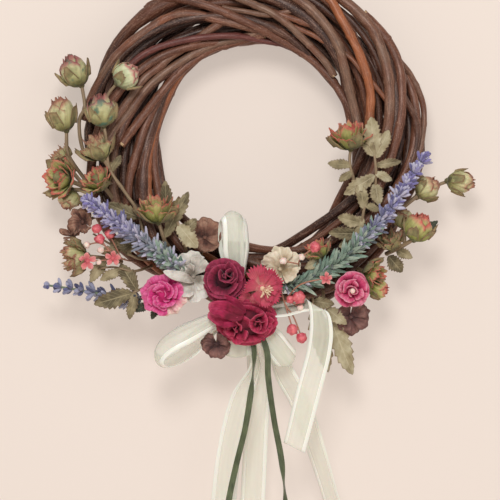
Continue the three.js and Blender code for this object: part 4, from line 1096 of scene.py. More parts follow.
def rose_pink_left():
    place = facing((165, 294, 34), (-0.1, 0.1, 1)) @ Matrix.Diagonal((1.1, 1.04, 1, 1))
    cut = {"dent": 0.14, "ragged": 0.03, "size": (18, 14)}
    whorl = petal_rings([
        (4, 0.3, 0.8, 0.8, 4, 3, 11, 1, 0, 0.9, 0.8, 0, 0.3, 0.22),
        (5, 1, 0.7, 2.2, 8.4, 2.5, 11.5, 0.8, 0, 1.2, 1.8, 1.3, 0.5, 0.26),
    ], **cut)
    inside = {"low": 1.5, "flare": 0.78, "drift": 1.4, "lip": 1.8, **cut}
    outside = {"inner": 4.4, "rise": 7.5, "curl": 2.5, "ruffle": 1.8, **inside}
    grown(
        "rose_pink_left", "cloth_pink", bloom_of(place, whorl, PINK_CLOTH),
        fan_of(place, [(10, 13), (70, 13), (130, 14), (185, 14), (240, 13), (295, 13)], PINK_CLOTH, 0.2,
               spread=0.66, inner=3.2, rise=10.5, curl=1, ruffle=1.6, **inside),
        fan_of(place, [(15, 19), (60, 19), (105, 20), (150, 20), (200, 20), (250, 19)], PINK_CLOTH, 0.12,
               spread=0.56, **outside),
        fan_of(place, [(290, 20), (330, 21)], BLUSH_CLOTH, 0.12, spread=0.5, **outside),
        heart(place, 8.4, 4, 0.8, PINK_CLOTH), stem([(182, 268, 6), (165, 294, 32), (165, 294, 36)], 2, 2.6),
    )


def rose_pink_right():
    place = facing((350, 289, 36), (0.1, 0.1, 1))
    rings = petal_rings([
        (4, 0.3, 0.9, 2.4, 4.8, 4, 11.5, 1, 0, 0.8, 1, 0, 0.7, 0.14),
        (4, 1.2, 0.8, 3, 8.6, 3, 12.5, 0.8, 0, 0.8, 2, 2, 0.6, 0.3, 0.8),
        (4, 0.6, 0.8, 3.5, 13, 2, 11.5, 0.7, 2, -0.9, 2.4, 2.6, 0.4, 0.26, 1),
        (5, 0.1, 0.76, 4, 16.5, 1, 9.5, 0.6, 4, 0.6, 1.6, 2.6, 0.35, 0.16, 1),
    ], size=(18, 14), crumple=0.4, dent=0.05)
    pearl = heart(place, 2.6, 15, 1, WHITE_BEAD)
    grown("rose_pink_right", "cloth_pink", bloom_of(place, rings, ROSY_CLOTH),
          heart(place, 7, 3.4, 0.8, ROSY_CLOTH), pearl,
          fan_of(place, [(200, 16), (160, 15)], MINT_CLOTH, spread=0.6, inner=4, rise=7, flare=0.7, curl=2,
                 ruffle=1.2, size=(16, 12)),
          stem([(336, 270, 8), (350, 289, 34), (350, 289, 38)], 2, 2.6))


# Leaves

def leaf(base, tip, width, arch=0.12, fold=0.3, wave=0.1, teeth=8, blunt=0.0, size=(12, 40)):
    """A toothed leaf, folded along its rib and arched towards the viewer."""
    start = at(base)
    along = at(tip) - start
    reach = along.normalized()
    front = (Vector((0, -1, 0)) + reach * reach.y).normalized()
    side = reach.cross(front)
    phase = about(0, 3)

    def shape(u, v):
        outline = np.clip(np.sin(np.pi * np.clip(v, 0, 1) ** 0.85), 0, 1) ** (0.7 - 0.3 * blunt)
        outline = outline * (1 + 0.1 * np.sin(9 * v + phase + 1.5 * np.sign(u)))
        half = width / 2 * MM * outline
        if teeth:
            saw = (v * teeth + 0.2 * np.sign(u)) % 1
            half = half * (1 + 0.34 * (saw - 0.4) * np.abs(u) ** 3)
        swept = v + 0.06 * np.abs(u) * np.sin(np.pi * v)
        raised = along.length * arch * np.sin(np.pi * v)
        raised += half * (fold * np.abs(u) + wave * u * np.sin(7 * v))
        raised += half * 0.22 * np.sin(4.5 * np.pi * v + phase + 1.2 * u) * u * u
        raised += half * 0.3 * np.sin(3 * v + phase) * u
        return spread_out(start, (swept, along), (raised, front), (half * u, side))

    return bent("leaf", size, shape, about(0.5, 0.4))


def leaves(forms, finish):
    return painted(thickened(joined("leaves", [leaf(*form) for form in forms])), finish)


def leafy(name, finish, stems, forms, others=(), slot="leaf_sage"):
    grown(name, slot, [stem(*form) for form in stems], leaves(forms, finish), *others)


# Rose buds

BUD_CALYX = 3.2
OUTER_PROFILE = [(0, 0.3), (0.1, 0.66), (0.22, 0.88), (0.45, 1.0), (0.6, 1.0), (0.8, 0.9), (1, 0.55)]
INNER_PROFILE = [(0, 0.25), (0.24, 0.72), (0.58, 0.8), (0.8, 0.66), (1, 0.42)]
HEART_PROFILE = [(0, 0.2), (0.3, 0.5), (0.6, 0.52), (0.85, 0.34), (1, 0.12)]


def bud_petal(base, axis, normal, binormal, radius, profile, angle, spread, tall, point, flip, shade):
    """One petal that wraps the bud: profile gives the radius at each height, flip turns its rim out."""
    heights, sizes = zip(*profile)
    phase = about(0, 3)

    def shape(u, v):
        torn = 0.035 * (np.sin(6 * u + phase) + 0.8 * np.sin(13 * u + 3 * phase)) * v**5
        reach = tall * (v * (1 - point * np.abs(u) ** 2.2) + torn)
        size = np.interp(reach / tall, heights, sizes)
        edge = np.clip((v - 0.7) / 0.3, 0, 1) ** 2 * (1 - 0.5 * u * u)
        away = radius * (size + flip * edge + 0.05 * np.sin(4 * u + phase) * v * v + 0.03 * u)
        up = reach - 0.35 * abs(flip) * edge * np.clip(v, 0, 1)
        turn = angle + spread * u + 0.7 * reach
        away = away * MM
        return spread_out(base, (up, axis), (np.cos(turn) * away, normal), (np.sin(turn) * away, binormal))

    return bent("bud_petal", (13, 10), shape, shade)


def bud_foot(cup, radius, tall, count=4):
    """The calyx of a bud, and torn green sepals that clasp its foot and stand away at their tips."""
    calyx = heart(cup, BUD_CALYX, 0.6, 1.15, SEPAL_CLOTH, 0.4)
    sepals = ring_of_petals(cup, count, radius * 1.24, 0.6, 0.5, 0.06, spread=0.44, inner=2.3, low=0.4,
                            rise=tall * 0.62, flare=0.42, curl=-0.06 * tall, round_by=0.66, ragged=0.06,
                            crumple=0.4, lip=2.4, size=(9, 14))
    return [calyx, painted(thickened(joined("sepals", sepals)), SEPAL_CLOTH)]


def bud(base, tip, radius, spin=0.0, finish=BUD_CLOTH, sepals=4):
    """A closed cloth rose bud on the end of its stem: calyx, three layers of petals and torn sepals."""
    foot = at(base)
    axis = at(tip) - foot
    along = axis.normalized()
    normal = Vector((0, -1, 0.2)).cross(along).normalized()
    axes = [np.array(way) for way in (axis, normal, along.cross(normal))]
    third = 2 * math.pi / 3
    petals = []
    for k in range(3):
        petals.append(bud_petal(foot, *axes, radius, OUTER_PROFILE, spin + third * k, 0.625 * third,
                                about(0.88, 0.08), 0.3, 0.08, about(0.5, 0.35)))
    for k in range(3):
        petals.append(bud_petal(foot, *axes, radius * 0.92, INNER_PROFILE, spin + third * (k + 0.5),
                                0.65 * third, about(0.97, 0.03), 0.24, 0.03, about(0.6, 0.3)))
    for k in range(3):
        petals.append(bud_petal(foot, *axes, radius * 0.9, HEART_PROFILE, spin + 2.1 * k, 1.3, 0.96, 0.12,
                                0.0, about(0.7, 0.3)))
    cup = facing(base, np.subtract(tip, base), spin)
    return [painted(thickened(joined("bud_petals", petals)), finish),
            *bud_foot(cup, radius, axis.length / MM, sepals)]


def open_bud(base, tip, radius, finish=BUD_CLOTH, spin=0.0, shade=0.5, count=5, core=None):
    """A bud that has opened into a rosette of torn petals round a green middle."""
    tall = (at(tip) - at(base)).length / MM
    cup = facing(base, np.subtract(tip, base), spin)
    rings = petal_rings([
        (count - 2, 0.2, 0.8, 0.6, radius * 0.3, tall * 0.1, tall * 0.72, 0.6, 0, 0, 0, 0, shade, 0.14),
        (count - 1, 0.9, 0.66, 1.2, radius * 0.58, tall * 0.06, tall * 0.84, 0.5, 0, 0, 0.8, 0, shade, 0.16),
        (count, 0.3, 0.62, 1.8, radius * 0.84, 0.6, tall * 0.84, 0.48, tall * 0.03, 0, 1.2, 0, shade, 0.18),
        (count, 0.9, 0.56, 2.2, radius * 1.02, 0.4, tall * 0.66, 0.5, tall * 0.1, 0, 2, 0, shade, 0.18),
    ], round_by=0.32, ragged=0.06, crumple=0.6, size=(13, 13))
    return [bloom_of(cup, rings[:1], core or finish), bloom_of(cup, rings[1:], finish),
            heart(cup, radius * 0.5, tall * 0.4, 1, SEPAL_CLOTH, 0.6), *bud_foot(cup, radius, tall)]


def buds_on_the_left():
    grown("bud_upper_left", "bud_green", bud((82, 86, 12), (67, 56, 14), 13, 0.4, TEAL_BUD_CLOTH),
          stem([(112, 192, 2), (84, 152, 8), (80, 120, 13), (85, 108, 14), (82, 85, 12)], 2, 1.8))
    grown("bud_round_left", "bud_mint", bud((118, 85, 38), (138, 69, 44), 13, 1, MINT_CLOTH),
          stem([(106, 160, 8), (102, 140, 24), (106, 112, 30), (109, 96, 34), (119, 84, 38)], 1.8, 1.6))
    grown("bud_middle_left", "bud_green", bud((67, 131, 14), (57, 97, 16), 13, 0.2),
          stem([(96, 192, 0), (78, 170, 6), (68, 152, 12), (67, 130, 14)], 2, 1.8))
    grown("buds_tall_left", "bud_green", bud((105, 127, 40), (101, 95, 46), 14, 0.9, TEAL_BUD_CLOTH),
          open_bud((104, 160, 36), (93, 134, 42), 16, BUD_CLOTH, 0.2),
          stem([(150, 228, 8), (141, 214, 28), (124, 190, 32), (110, 168, 34), (108, 145, 38),
                (105, 126, 40)], 1.8, 1.7),
          stem([(111, 170, 34), (104, 159, 36)], 1.8, 2),
          leaves([((112, 172, 33), (122, 156, 34), 8)], SAGE_LEAF))
    grown("bud_cluster_left", "bud_green",
          open_bud((70, 180, 14), (52, 176, 32), 18, RED_TIP_CLOTH, 0.3, 0.6, core=CORAL_HEART),
          open_bud((68, 166, 4), (52, 150, 6), 11, BUD_CLOTH, 0.5),
          bud((72, 190, 8), (66, 210, 10), 11, 0.1),
          stem([(102, 196, 0), (84, 187, 8), (69, 180, 16)], 2.2, 2.4),
          stem([(86, 188, 7), (67, 165, 4)], 2, 2.2), stem([(90, 190, 5), (71, 190, 8)], 2, 2.4))
    grown("bud_small_left", "bud_green",
          open_bud((104, 188, 26), (92, 172, 36), 15, RED_TIP_CLOTH, 0.7, core=CORAL_HEART),
          stem([(116, 204, 6), (110, 194, 18), (103, 185, 27)], 2, 2))
    grown("bud_open_left", "bud_green",
          open_bud((159, 223, 38), (158, 194, 45), 20, RED_TIP_CLOTH, 0.2, 0.4, 6),
          stem([(174, 252, 10), (165, 240, 32), (159, 221, 38)], 2, 2),
          leaves([((164.6, 238, 32.4), (189, 192, 30), 14, 0.06),
                  ((167, 214, 34), (166, 181, 40), 12, 0.04)], SAGE_LEAF))
    dried = petal_rings([
        (4, 0, 0.6, 1, 13, 0, 8, 1, 0, 0, 0, 1),
        (4, 0.7, 0.5, 1, 8, 1, 8, 1, 0, 0, 0, 0.8),
    ], round_by=0.5)
    grown("bud_low_left", "bud_beige", open_bud((88, 255, 24), (62, 259, 28), 17, BUD_CLOTH, 0.2),
          bloom_of(facing((74, 236, 24), (-0.4, -0.8, 0.6)), dried, BROWN_PETAL),
          stem([(122, 262, 4), (104, 258, 18), (86, 256, 24)], 2.2, 2),
          stem([(90, 256, 24), (80, 247, 24), (74, 235, 24)], 1.8, 1.8),
          leaves([((106, 259, 17), (91, 282, 24), 12, 0.2)], SAGE_LEAF))


def buds_on_the_right():
    grown("buds_right_edge", "bud_beige", bud((417, 196, 22), (437, 181, 24), 11.5, 0.4),
          bud((447, 181, 8), (475, 184, 8), 10.5, 0.6),
          stem([(394, 214, 4), (404, 206, 24), (419, 194, 23)], 2.2, 2.2),
          stem([(415, 199, 20), (426, 194, 12), (438, 185, 6), (449, 181, 8)], 1.8, 1.8))
    grown("buds_right", "bud_green", bud((413, 240, 26), (422, 214, 34), 14, 0.4, RED_TIP_CLOTH, 5),
          bud((404, 228, 14), (402, 208, 16), 9, 0.2),
          open_bud((391, 249, 18), (387, 229, 26), 12, BUD_CLOTH, 0.4),
          leaves([((414, 236, 20), (437, 221, 22), 9), ((412, 238, 18), (436, 230, 16), 8)], DARK_LEAF),
          leaves([((388, 256, 9), (402, 272, 12), 14, 0.1),
                  ((396, 250, 14), (412, 258, 20), 10, 0.2)], SAGE_LEAF),
          stem([(386, 254, 4), (400, 247, 18), (413, 239, 27)], 2.2, 2.2),
          stem([(404, 244, 19), (404, 227, 14)], 1.8, 2), stem([(392, 251, 8), (391, 248, 19)], 1.8, 2.2))
    grown("buds_lower_right", "bud_green", open_bud((364, 272, 24), (384, 276, 32), 14, RED_TIP_CLOTH, 0.4),
          bud((368, 286, 20), (388, 291, 22), 9, 0.2, RED_TIP_CLOTH),
          stem([(348, 262, 4), (356, 268, 16), (366, 272, 25)], 2.2, 2),
          stem([(358, 269, 18), (362, 280, 20), (370, 286, 20)], 1.8, 1.8))
    grown("bud_bow_right", "bud_beige", open_bud((322, 258, 36), (312, 240, 38), 12, RED_TIP_CLOTH, 0.6),
          stem([(321, 263, 6), (322, 261, 30), (321.5, 257, 37)], 2, 2.2),
          leaves([((321, 261, 33), (304, 268, 38), 10)], PALE_LEAF))


# Lavender

BUD_OUTLINE = [(0, 0.1), (0.25, 0.2), (0.55, 0.26), (0.8, 0.2), (0.95, 0.1)]
SPIKE_ROWS = 240
SPIKE_TIP = 0.985


def flock_bud():
    """One flocked bud, one unit long and pointing up, from a six-sided cylinder that is drawn out."""
    deselect()
    bpy.ops.mesh.primitive_circle_add(vertices=6, radius=BUD_OUTLINE[0][1], fill_type="TRIFAN")
    piece = bpy.context.object
    piece.hide_render = True
    bpy.ops.object.mode_set(mode="EDIT")
    bpy.ops.mesh.select_all(action="SELECT")
    for (low, narrow), (high, wide) in zip(BUD_OUTLINE, BUD_OUTLINE[1:]):
        bpy.ops.mesh.extrude_region_move(TRANSFORM_OT_translate={"value": (0, 0, high - low)})
        share = wide / narrow
        bpy.ops.transform.resize(value=(share, share, 1), center_override=(0, 0, high))
    bpy.ops.mesh.select_all(action="SELECT")
    bpy.ops.mesh.normals_make_consistent(inside=False)
    bpy.ops.object.mode_set(mode="OBJECT")
    return piece


FLOCK_BUD = flock_bud()


def lavender(name, slot, places, start, size, finish, rows, around, leaflets, leaf_form, whorl, stout, gap,
             thin_until=0.0, crowd=0.03):
    """A spike of flocked buds in whorls; below `thin_until` only one bud in three is left on the stem."""
    line = route(places, SPIKE_ROWS)
    frames = sides_of(line)
    middle = line[::4]
    pieces = [painted(tube("stem", middle, np.linspace(1.7, 1.1, len(middle)), 8, 0.4, 0.1), TEAL_STEM)]
    note(pieces[0], "climb", 0.0)
    for k in range(rows):
        share = start + (SPIKE_TIP - start) * (k - crowd * (k % whorl)) / (rows - 1)
        spot = int(share * (SPIKE_ROWS - 1))
        tangent, side, over = frames[spot]
        climb = (share - start) / (1 - start)
        thin = climb < thin_until
        if thin and k % 3:
            continue
        full = {0: 1, whorl - 1: gap}.get(k % whorl, (1 + gap) / 2)
        long = size * (0.72 + 0.38 * math.sin(math.pi * min(1, share + 0.1))) * full
        many = max(3, around // 2) if thin else around
        for j in range(many):
            turn = 2 * math.pi * (j + 0.5 * (k % 2)) / many + about(0, 0.35)
            out = side * math.cos(turn) + over * math.sin(turn)
            reach = long * about(0.62, 0.26)
            forward = long * about(0.52, 0.24)
            if k > rows - 3:
                reach *= 0.4
                forward *= 0.9
            way = out * reach + tangent * forward
            tilt = way.normalized().to_track_quat("Z", "Y").to_matrix().to_4x4()
            wide = about(stout, 0.2 * stout) * MM
            copy = copy_of(FLOCK_BUD, "flock_bud")
            copy.data.transform(Matrix.Translation(line[spot] + out * (0.9 * MM)) @ tilt
                                @ Matrix.Diagonal((wide, wide, way.length * MM, 1)))
            note(copy, "shade", about(0.5, 0.5))
            note(copy, "climb", climb + about(0, 0.06))
            pieces.append(painted(copy, finish))
    made = []
    for share, turn, long, wide in leaflets:
        spot = int(share * (SPIKE_ROWS - 1))
        tangent, side, over = frames[spot]
        out = side * math.cos(turn) + over * math.sin(turn)
        tip = line[spot] + (out * 0.75 + tangent * 0.8).normalized() * long * MM
        made.append(leaf(seen_place(line[spot]), seen_place(tip), wide, 0.08, teeth=0, size=(6, 12)))
    grown(name, slot, pieces, painted(thickened(joined("leaflets", made)), leaf_form))


def leaflet_rows(first, last, count, long, wide):
    """Leaflets that wind up a spike, as (share of the way up, turn, length, width)."""
    return [(first + (last - first) * k / count, 2.4 * k, about(long, 2), about(wide, 0.5))
            for k in range(count)]


def all_lavender():
    lavender("lavender_left_upper", "lavender_violet", [
        (190, 276, 18), (178, 266, 36), (150, 246, 46), (120, 224, 50), (98, 207, 50), (84, 198, 48),
    ], 0.16, 17, VIOLET_FLOCK, 48, 13, leaflet_rows(0.04, 0.36, 34, 16, 5), TEAL_LEAF, 4, 6, 0.4)
    lavender("lavender_left_lower", "lavender_indigo", [
        (170, 276, 6), (150, 296, 16), (128, 299, 20), (103, 294, 22), (75, 289, 22), (48, 285, 20),
    ], 0.3, 15, INDIGO_FLOCK, 17, 5, leaflet_rows(0.2, 0.5, 6, 9, 2.6), DARK_LEAF, 2, 8.4, 0.75, crowd=0.5)
    foliage = leaflet_rows(0.04, 0.58, 110, 15, 2.7) + leaflet_rows(0.12, 0.46, 40, 21, 3.4)
    lavender("lavender_right", "lavender_violet", [
        (276, 276, 8), (286, 283, 28), (304, 282, 35), (345, 256, 44), (370, 231, 50), (386, 213, 50),
        (401, 190, 48), (417, 166, 44), (428, 152, 40),
    ], 0.1, 16, TEAL_FLOCK, 60, 13, foliage, TEAL_LEAF, 4, 6.2, 0.42, 0.42)


# Berries

def bead(place, radius, finish):
    deselect()
    bpy.ops.mesh.primitive_uv_sphere_add(segments=20, ring_count=12, radius=radius * MM, location=at(place))
    bpy.ops.object.transform_apply(location=True, rotation=False, scale=False)
    piece = bpy.context.object
    for vertex in piece.data.vertices:
        vertex.co += vertex.normal * (0.3 * radius * MM * noise.noise(vertex.co * 330))
    note(piece, "shade", 0.5)
    return painted(piece, finish)


def star(place, radius):
    """A berry of cloth that has opened into five blunt lobes."""
    placement = facing(place, (0, 0.1, 1), 0.3)
    lobes = petal_rings([(5, 0, 0.56, 0.6, radius, 0.6, 1.6, 1, -0.6, 0, 0, 0.8, 0.6, 0.15)],
                        round_by=0.42, ragged=0.04, size=(10, 10))
    return [bloom_of(placement, lobes, CORAL_CLOTH, 1.2), heart(placement, 2.2, 1.4, 0.8, CORAL_CLOTH)]


def berries(name, stems, coral, white, stars=()):
    """Beads and stars on thin stems, each given as (across, down, out, radius)."""
    pieces = []
    for places in stems:
        line = route(places, 6 * len(places))
        pieces.append(painted(tube("stem", line, np.linspace(0.9, 0.75, len(line)), 6), PINK_STEM))
    for beads, finish in ((coral, CORAL_BEAD), (white, WHITE_BEAD)):
        pieces += [bead(place, radius, finish) for *place, radius in beads]
    for *place, radius in stars:
        pieces += star(place, radius)
    grown(name, "berry_coral", pieces)


def all_berries():
    berries("berries_left", [
        [(136, 262, 6), (122, 258, 34), (108, 248, 40), (98, 230, 42)],
        [(122, 258, 34), (112, 250, 38), (100, 243, 40), (88, 245, 36)],
        [(122, 258, 34), (111, 235, 40)],
        [(126, 259, 28), (108, 260, 36), (88, 261, 37)],
        [(112, 251, 39), (102, 250, 39)],
    ], [(98, 229, 42, 4.8), (101, 239, 41, 4.8), (111, 234, 40, 4.8)],
        [(88, 245, 36, 3.4), (102, 250, 39, 3.4), (100, 262, 36, 2.8)],
        [(89, 261, 37, 9), (114, 258, 37, 8)])
    berries("berries_right_upper", [
        [(304, 273, 8), (299, 268, 32), (300, 258, 50), (313, 248, 55)],
        [(299, 264, 41), (283, 261, 45)],
    ], [(314, 247, 55, 5.3)], [(301, 257, 51, 3.4), (283, 261, 45, 3.6)])
    berries("berries_right_lower", [
        [(280, 284, 14), (281, 291, 38), (286, 308, 40), (293, 330, 42)],
        [(285, 304, 39.8), (293, 316, 41), (301, 336, 41)],
        [(284, 301, 39.4), (297, 297, 46)],
        [(288, 300, 41), (300, 307, 42)],
        [(286, 298, 40), (300, 284, 54), (324, 278, 57)],
    ], [(298, 297, 46.5, 6.2), (290, 299, 43, 4), (292, 329, 42, 5.4), (301, 337, 41, 5.2)],
        [(300, 307, 43, 3.2)], [(325, 278, 56.5, 6)])


# Hydrangea petals

def hydrangea(name, finish, centre, toward, turns, root, spread, crumple=0.9, wobble=0.25, rise=5,
              others=(), slot="hydrangea_brown"):
    """Broad crumpled petals that stand at odds with each other: (degrees from the right, reach)."""
    placement = facing(centre, toward)
    grown(
        name, slot, *others,
        fan_of(placement, turns, finish, wobble, spread=spread, inner=0.8, rise=rise, flare=0.8, curl=1.5,
               round_by=0.22, ruffle=2.6, dent=0.05, drift=1, ragged=0.035, crumple=crumple, size=(24, 20)),
        heart(placement, 2.4, 1.2, 0.8, finish, 0.1),
        stem([root, tuple((a + b) / 2 for a, b in zip(root, centre)), centre], 1.6, 1.4),
    )


def all_hydrangeas():
    hydrangea("hydrangea_brown_left", BROWN_PETAL, (84, 222, 26), (-0.3, 0, 1),
              [(110, 15), (60, 13), (170, 14), (215, 16), (290, 12), (20, 13)], (104, 214, 6), 0.76)
    hydrangea("hydrangea_brown_upper", BROWN_PETAL, (205, 238, 30), (0.1, -0.2, 1),
              [(125, 20), (60, 21), (5, 18), (190, 16), (300, 17), (240, 15)], (200, 262, 8), 0.85)
    long_petal = leaves([((195, 281, 40), (164, 271, 49), 10, 0.1, 0.3, 0.1, 0, 0.4, (12, 24))], WHITE_PETAL)
    hydrangea("hydrangea_white", WHITE_PETAL, (194, 276, 34), (-0.1, 0, 1),
              [(140, 20), (98, 27), (62, 22), (236, 24), (280, 27), (330, 18), (120, 15)], (193, 264, 6),
              0.66, 0.7, 0.22, 8, [long_petal], "hydrangea_white")
    hydrangea("hydrangea_mauve_low", MAUVE_PETAL, (217, 343, 32), (-0.1, 0.3, 1),
              [(150, 15), (210, 15), (270, 15), (320, 14), (40, 14)], (221, 326, 32), 0.8)
    hydrangea("hydrangea_mauve_right", MAUVE_PETAL, (350, 316, 24), (0.1, 0.2, 1),
              [(40, 19), (345, 20), (285, 20), (225, 18), (140, 16)], (338, 280, 4), 0.8)
    hydrangea("flower_cream", CREAM_PETAL, (280, 269, 35), (0.1, 0, 1),
              [(30, 22), (80, 23), (130, 22), (190, 16), (250, 15), (325, 20)], (276, 276, 6), 0.62, 0.7,
              rise=8, slot="petal_cream")


def all_leaves():
    leafy("leaf_trefoil_left", SAGE_LEAF, [
        ([(160, 278, 4), (148, 286, 20), (137, 291, 27), (133, 293, 27)], 1.6, 1.4),
    ], [
        ((134, 292.8, 27), (95, 304, 30), 17),
        ((138, 290.5, 27), (121, 264, 22), 15),
        ((136, 291.5, 27), (130, 319, 28), 10),
    ])
    leafy("leaves_dark_left", DARK_LEAF, [
        ([(180, 282, 4), (170, 298, 18), (160, 304, 21), (148, 304, 22)], 1.6, 1.4),
    ], [
        ((149, 303, 22), (135, 311, 24), 9),
        ((160, 303, 20), (152, 319, 24), 8),
    ], slot="leaf_dark")
    leafy("leaves_behind_lavender", SAGE_LEAF, [
        ([(150, 256, 4), (147, 246, 31), (140, 216, 34)], 1.8, 1.4),
        ([(150, 260, 4), (138, 258, 27), (118, 248, 30), (94, 234, 27)], 1.6, 0.9),
        ([(152, 266, 4), (134, 271, 25), (114, 267, 28), (97, 269, 26)], 1.6, 0.9),
    ], [
        ((122, 250, 29.5), (101, 252, 31), 11, 0.05),
        ((131, 256, 28.5), (118, 235, 33), 10, 0.1),
        ((122, 269, 27), (101, 280, 29), 10),
        ((140.4, 218, 33.8), (108, 204, 33), 14, 0.05),
        ((146.6, 244, 31.2), (110, 244, 30), 14, 0.05),
    ])
    leafy("leaves_inner_left", PALE_LEAF, [
        ([(190, 258, 6), (186, 248, 36), (178, 222, 41)], 1.8, 1.4),
    ], [
        ((178.6, 225, 40.6), (198, 248, 43), 17),
        ((182, 235, 38.8), (197, 219, 40), 12, 0.1),
    ])
    leafy("leafy_stem_upper_right", PALE_LEAF, [
        ([(372, 218, 4), (374, 196, 28), (375, 170, 36), (373, 152, 36)], 1.8, 1.3),
    ], [
        ((373, 153, 36), (370, 118, 38), 17, 0.08),
        ((374, 159, 36), (388, 131, 34), 13),
        ((374, 157, 36), (360, 138, 36), 11),
        ((374, 166, 36), (400, 162, 36), 9),
        ((374, 173, 35), (391, 181, 34), 9),
        ((374, 176, 35), (343, 195, 38), 14),
        ((374, 184, 32), (378, 206, 40), 13),
    ])
    leafy("bud_stem_right", SAGE_LEAF, [
        ([(368, 226, 4), (360, 204, 26), (353, 180, 32), (349, 163, 34), (350, 149, 34)], 1.8, 1.5),
    ], [
        ((351, 166, 34), (327, 164, 34), 10),
        ((352, 172, 33), (338, 182, 34), 8),
    ], open_bud((350, 150, 34), (347, 122, 40), 18.5, RED_TIP_CLOTH, 0.3, 0.6, 7, core=CORAL_HEART))
    leafy("leafy_stem_right", SAGE_LEAF, [
        ([(362, 258, 4), (359, 246, 32), (362, 216, 38), (366, 198, 40)], 1.8, 1.4),
    ], [
        ((363.5, 210, 39), (358, 182, 38), 12),
        ((364.4, 205, 39), (379, 211, 42), 8),
        ((362.2, 217, 38), (348, 236, 34), 16, 0.03),
        ((359.5, 243, 32.5), (338, 246, 30), 12, 0.03),
        ((361.2, 224, 36.5), (337, 217, 40), 13, 0.06),
        ((360, 234, 34), (328, 233, 37), 13, 0.06),
    ])
    leafy("leaves_low_right", PALE_LEAF, [
        ([(322, 278, 6), (324, 300, 24), (330, 318, 24)], 1.8, 1.4),
    ], [
        ((328, 314, 24), (352, 374, 26), 19, 0.05, 0.3, 0.25),
        ((326, 308, 24), (346, 324, 34), 13, 0.15),
    ])
    leafy("leaf_behind_ribbon", PALE_LEAF, [
        ([(312, 284, 4), (312, 296, 16), (314, 304, 20)], 1.6, 1.4),
    ], [
        ((313, 300, 19), (328, 372, 16), 19, -0.04, 0.3, 0.2),
        ((313.5, 301, 18.8), (334, 304, 26), 12, 0.15),
    ])


# Ribbons

def sheer(name, size, shape, length):
    """A strip of organza. `straight` keeps across and along in metres."""
    piece = bent(name, size, shape)
    u, v = grid_places(flat_grid(*size))
    note(piece, "straight", np.stack([u * RIBBON_WIDTH / 2 * MM, v * length, 0 * u], axis=1))
    return painted(thickened(piece, RIBBON_THICKNESS), ORGANZA)


def loop(start, end, puff, flare=1.0, lean=0.0, round_by=0.12):
    """A loop of the bow: out along its front strand and back along the one behind it. `lean` turns its far
    end about its own length, so that it is seen from inside."""
    along = at(end) - at(start)
    toward = Vector((0, -1, 0))
    side = toward.cross(along).normalized()
    phase = about(0, 3)

    def shape(u, v):
        turn = 2 * np.pi * v
        reach = (1 - np.cos(turn)) / 2
        half = RIBBON_WIDTH / 2 * MM * (0.3 + 0.7 * flare * np.minimum(1, 1.6 * reach))
        out = puff * (1 - 0.35 * u * u) * np.sin(turn) * (0.45 + 0.9 * reach) + (1 - 2 * v)
        out += (1 - reach) * 1.2 * np.sin(3 * np.pi * u + phase)
        out += 0.9 * np.sin(7 * v + 2.5 * u + phase) * reach
        cosine, sine = np.cos(lean * reach), np.sin(lean * reach)
        across, outward = half * u, out * MM
        return spread_out(at(start), (reach * (1 - round_by * u * u), along),
                          (across * cosine - outward * sine, side),
                          (across * sine + outward * cosine, toward))

    return sheer("loop", (14, 56), shape, 2 * along.length), 2 * along.length


def organza_bow():
    made = [
        loop((237, 300, 29), (232, 211, 42), 10, 1.12, 0.5, 0.1),
        loop((233, 307, 28), (157, 362, 36), 16, 1.08, 1.05, 0.06),
        loop((239, 311, 27), (234, 357, 24), 5, 1.6),
        loop((248, 309, 27), (291, 364, 24), 5),
    ]
    bow = joined("organza_bow", [piece for piece, _ in made])
    fitted(bow, "organza_bow")
    deselect()
    bpy.ops.mesh.primitive_uv_sphere_add(segments=40, ring_count=20, radius=1)
    middle = bpy.context.object
    for vertex in middle.data.vertices:
        x, y, z = vertex.co
        pleat = 1 + 0.06 * math.sin(9 * math.atan2(z, y))
        vertex.co = at((240, 305, 27)) + Vector((x * 10, y * 4.5 * pleat, z * 8.5 * pleat)) * MM
    note(middle, "shade", 0.5)
    note(middle, "straight", np.zeros((len(middle.data.vertices), 3)))
    wire = stem([(241, 290, 6), (241, 300, 18), (241, 305, 26)], 2.4, 2.4)
    tie = joined("organza_knot", [painted(middle, ORGANZA_KNOT), wire])
    fitted(tie, "organza_bow", "knot")


TAIL_ROWS = 90
TAIL_WAVES_EVERY = 0.2


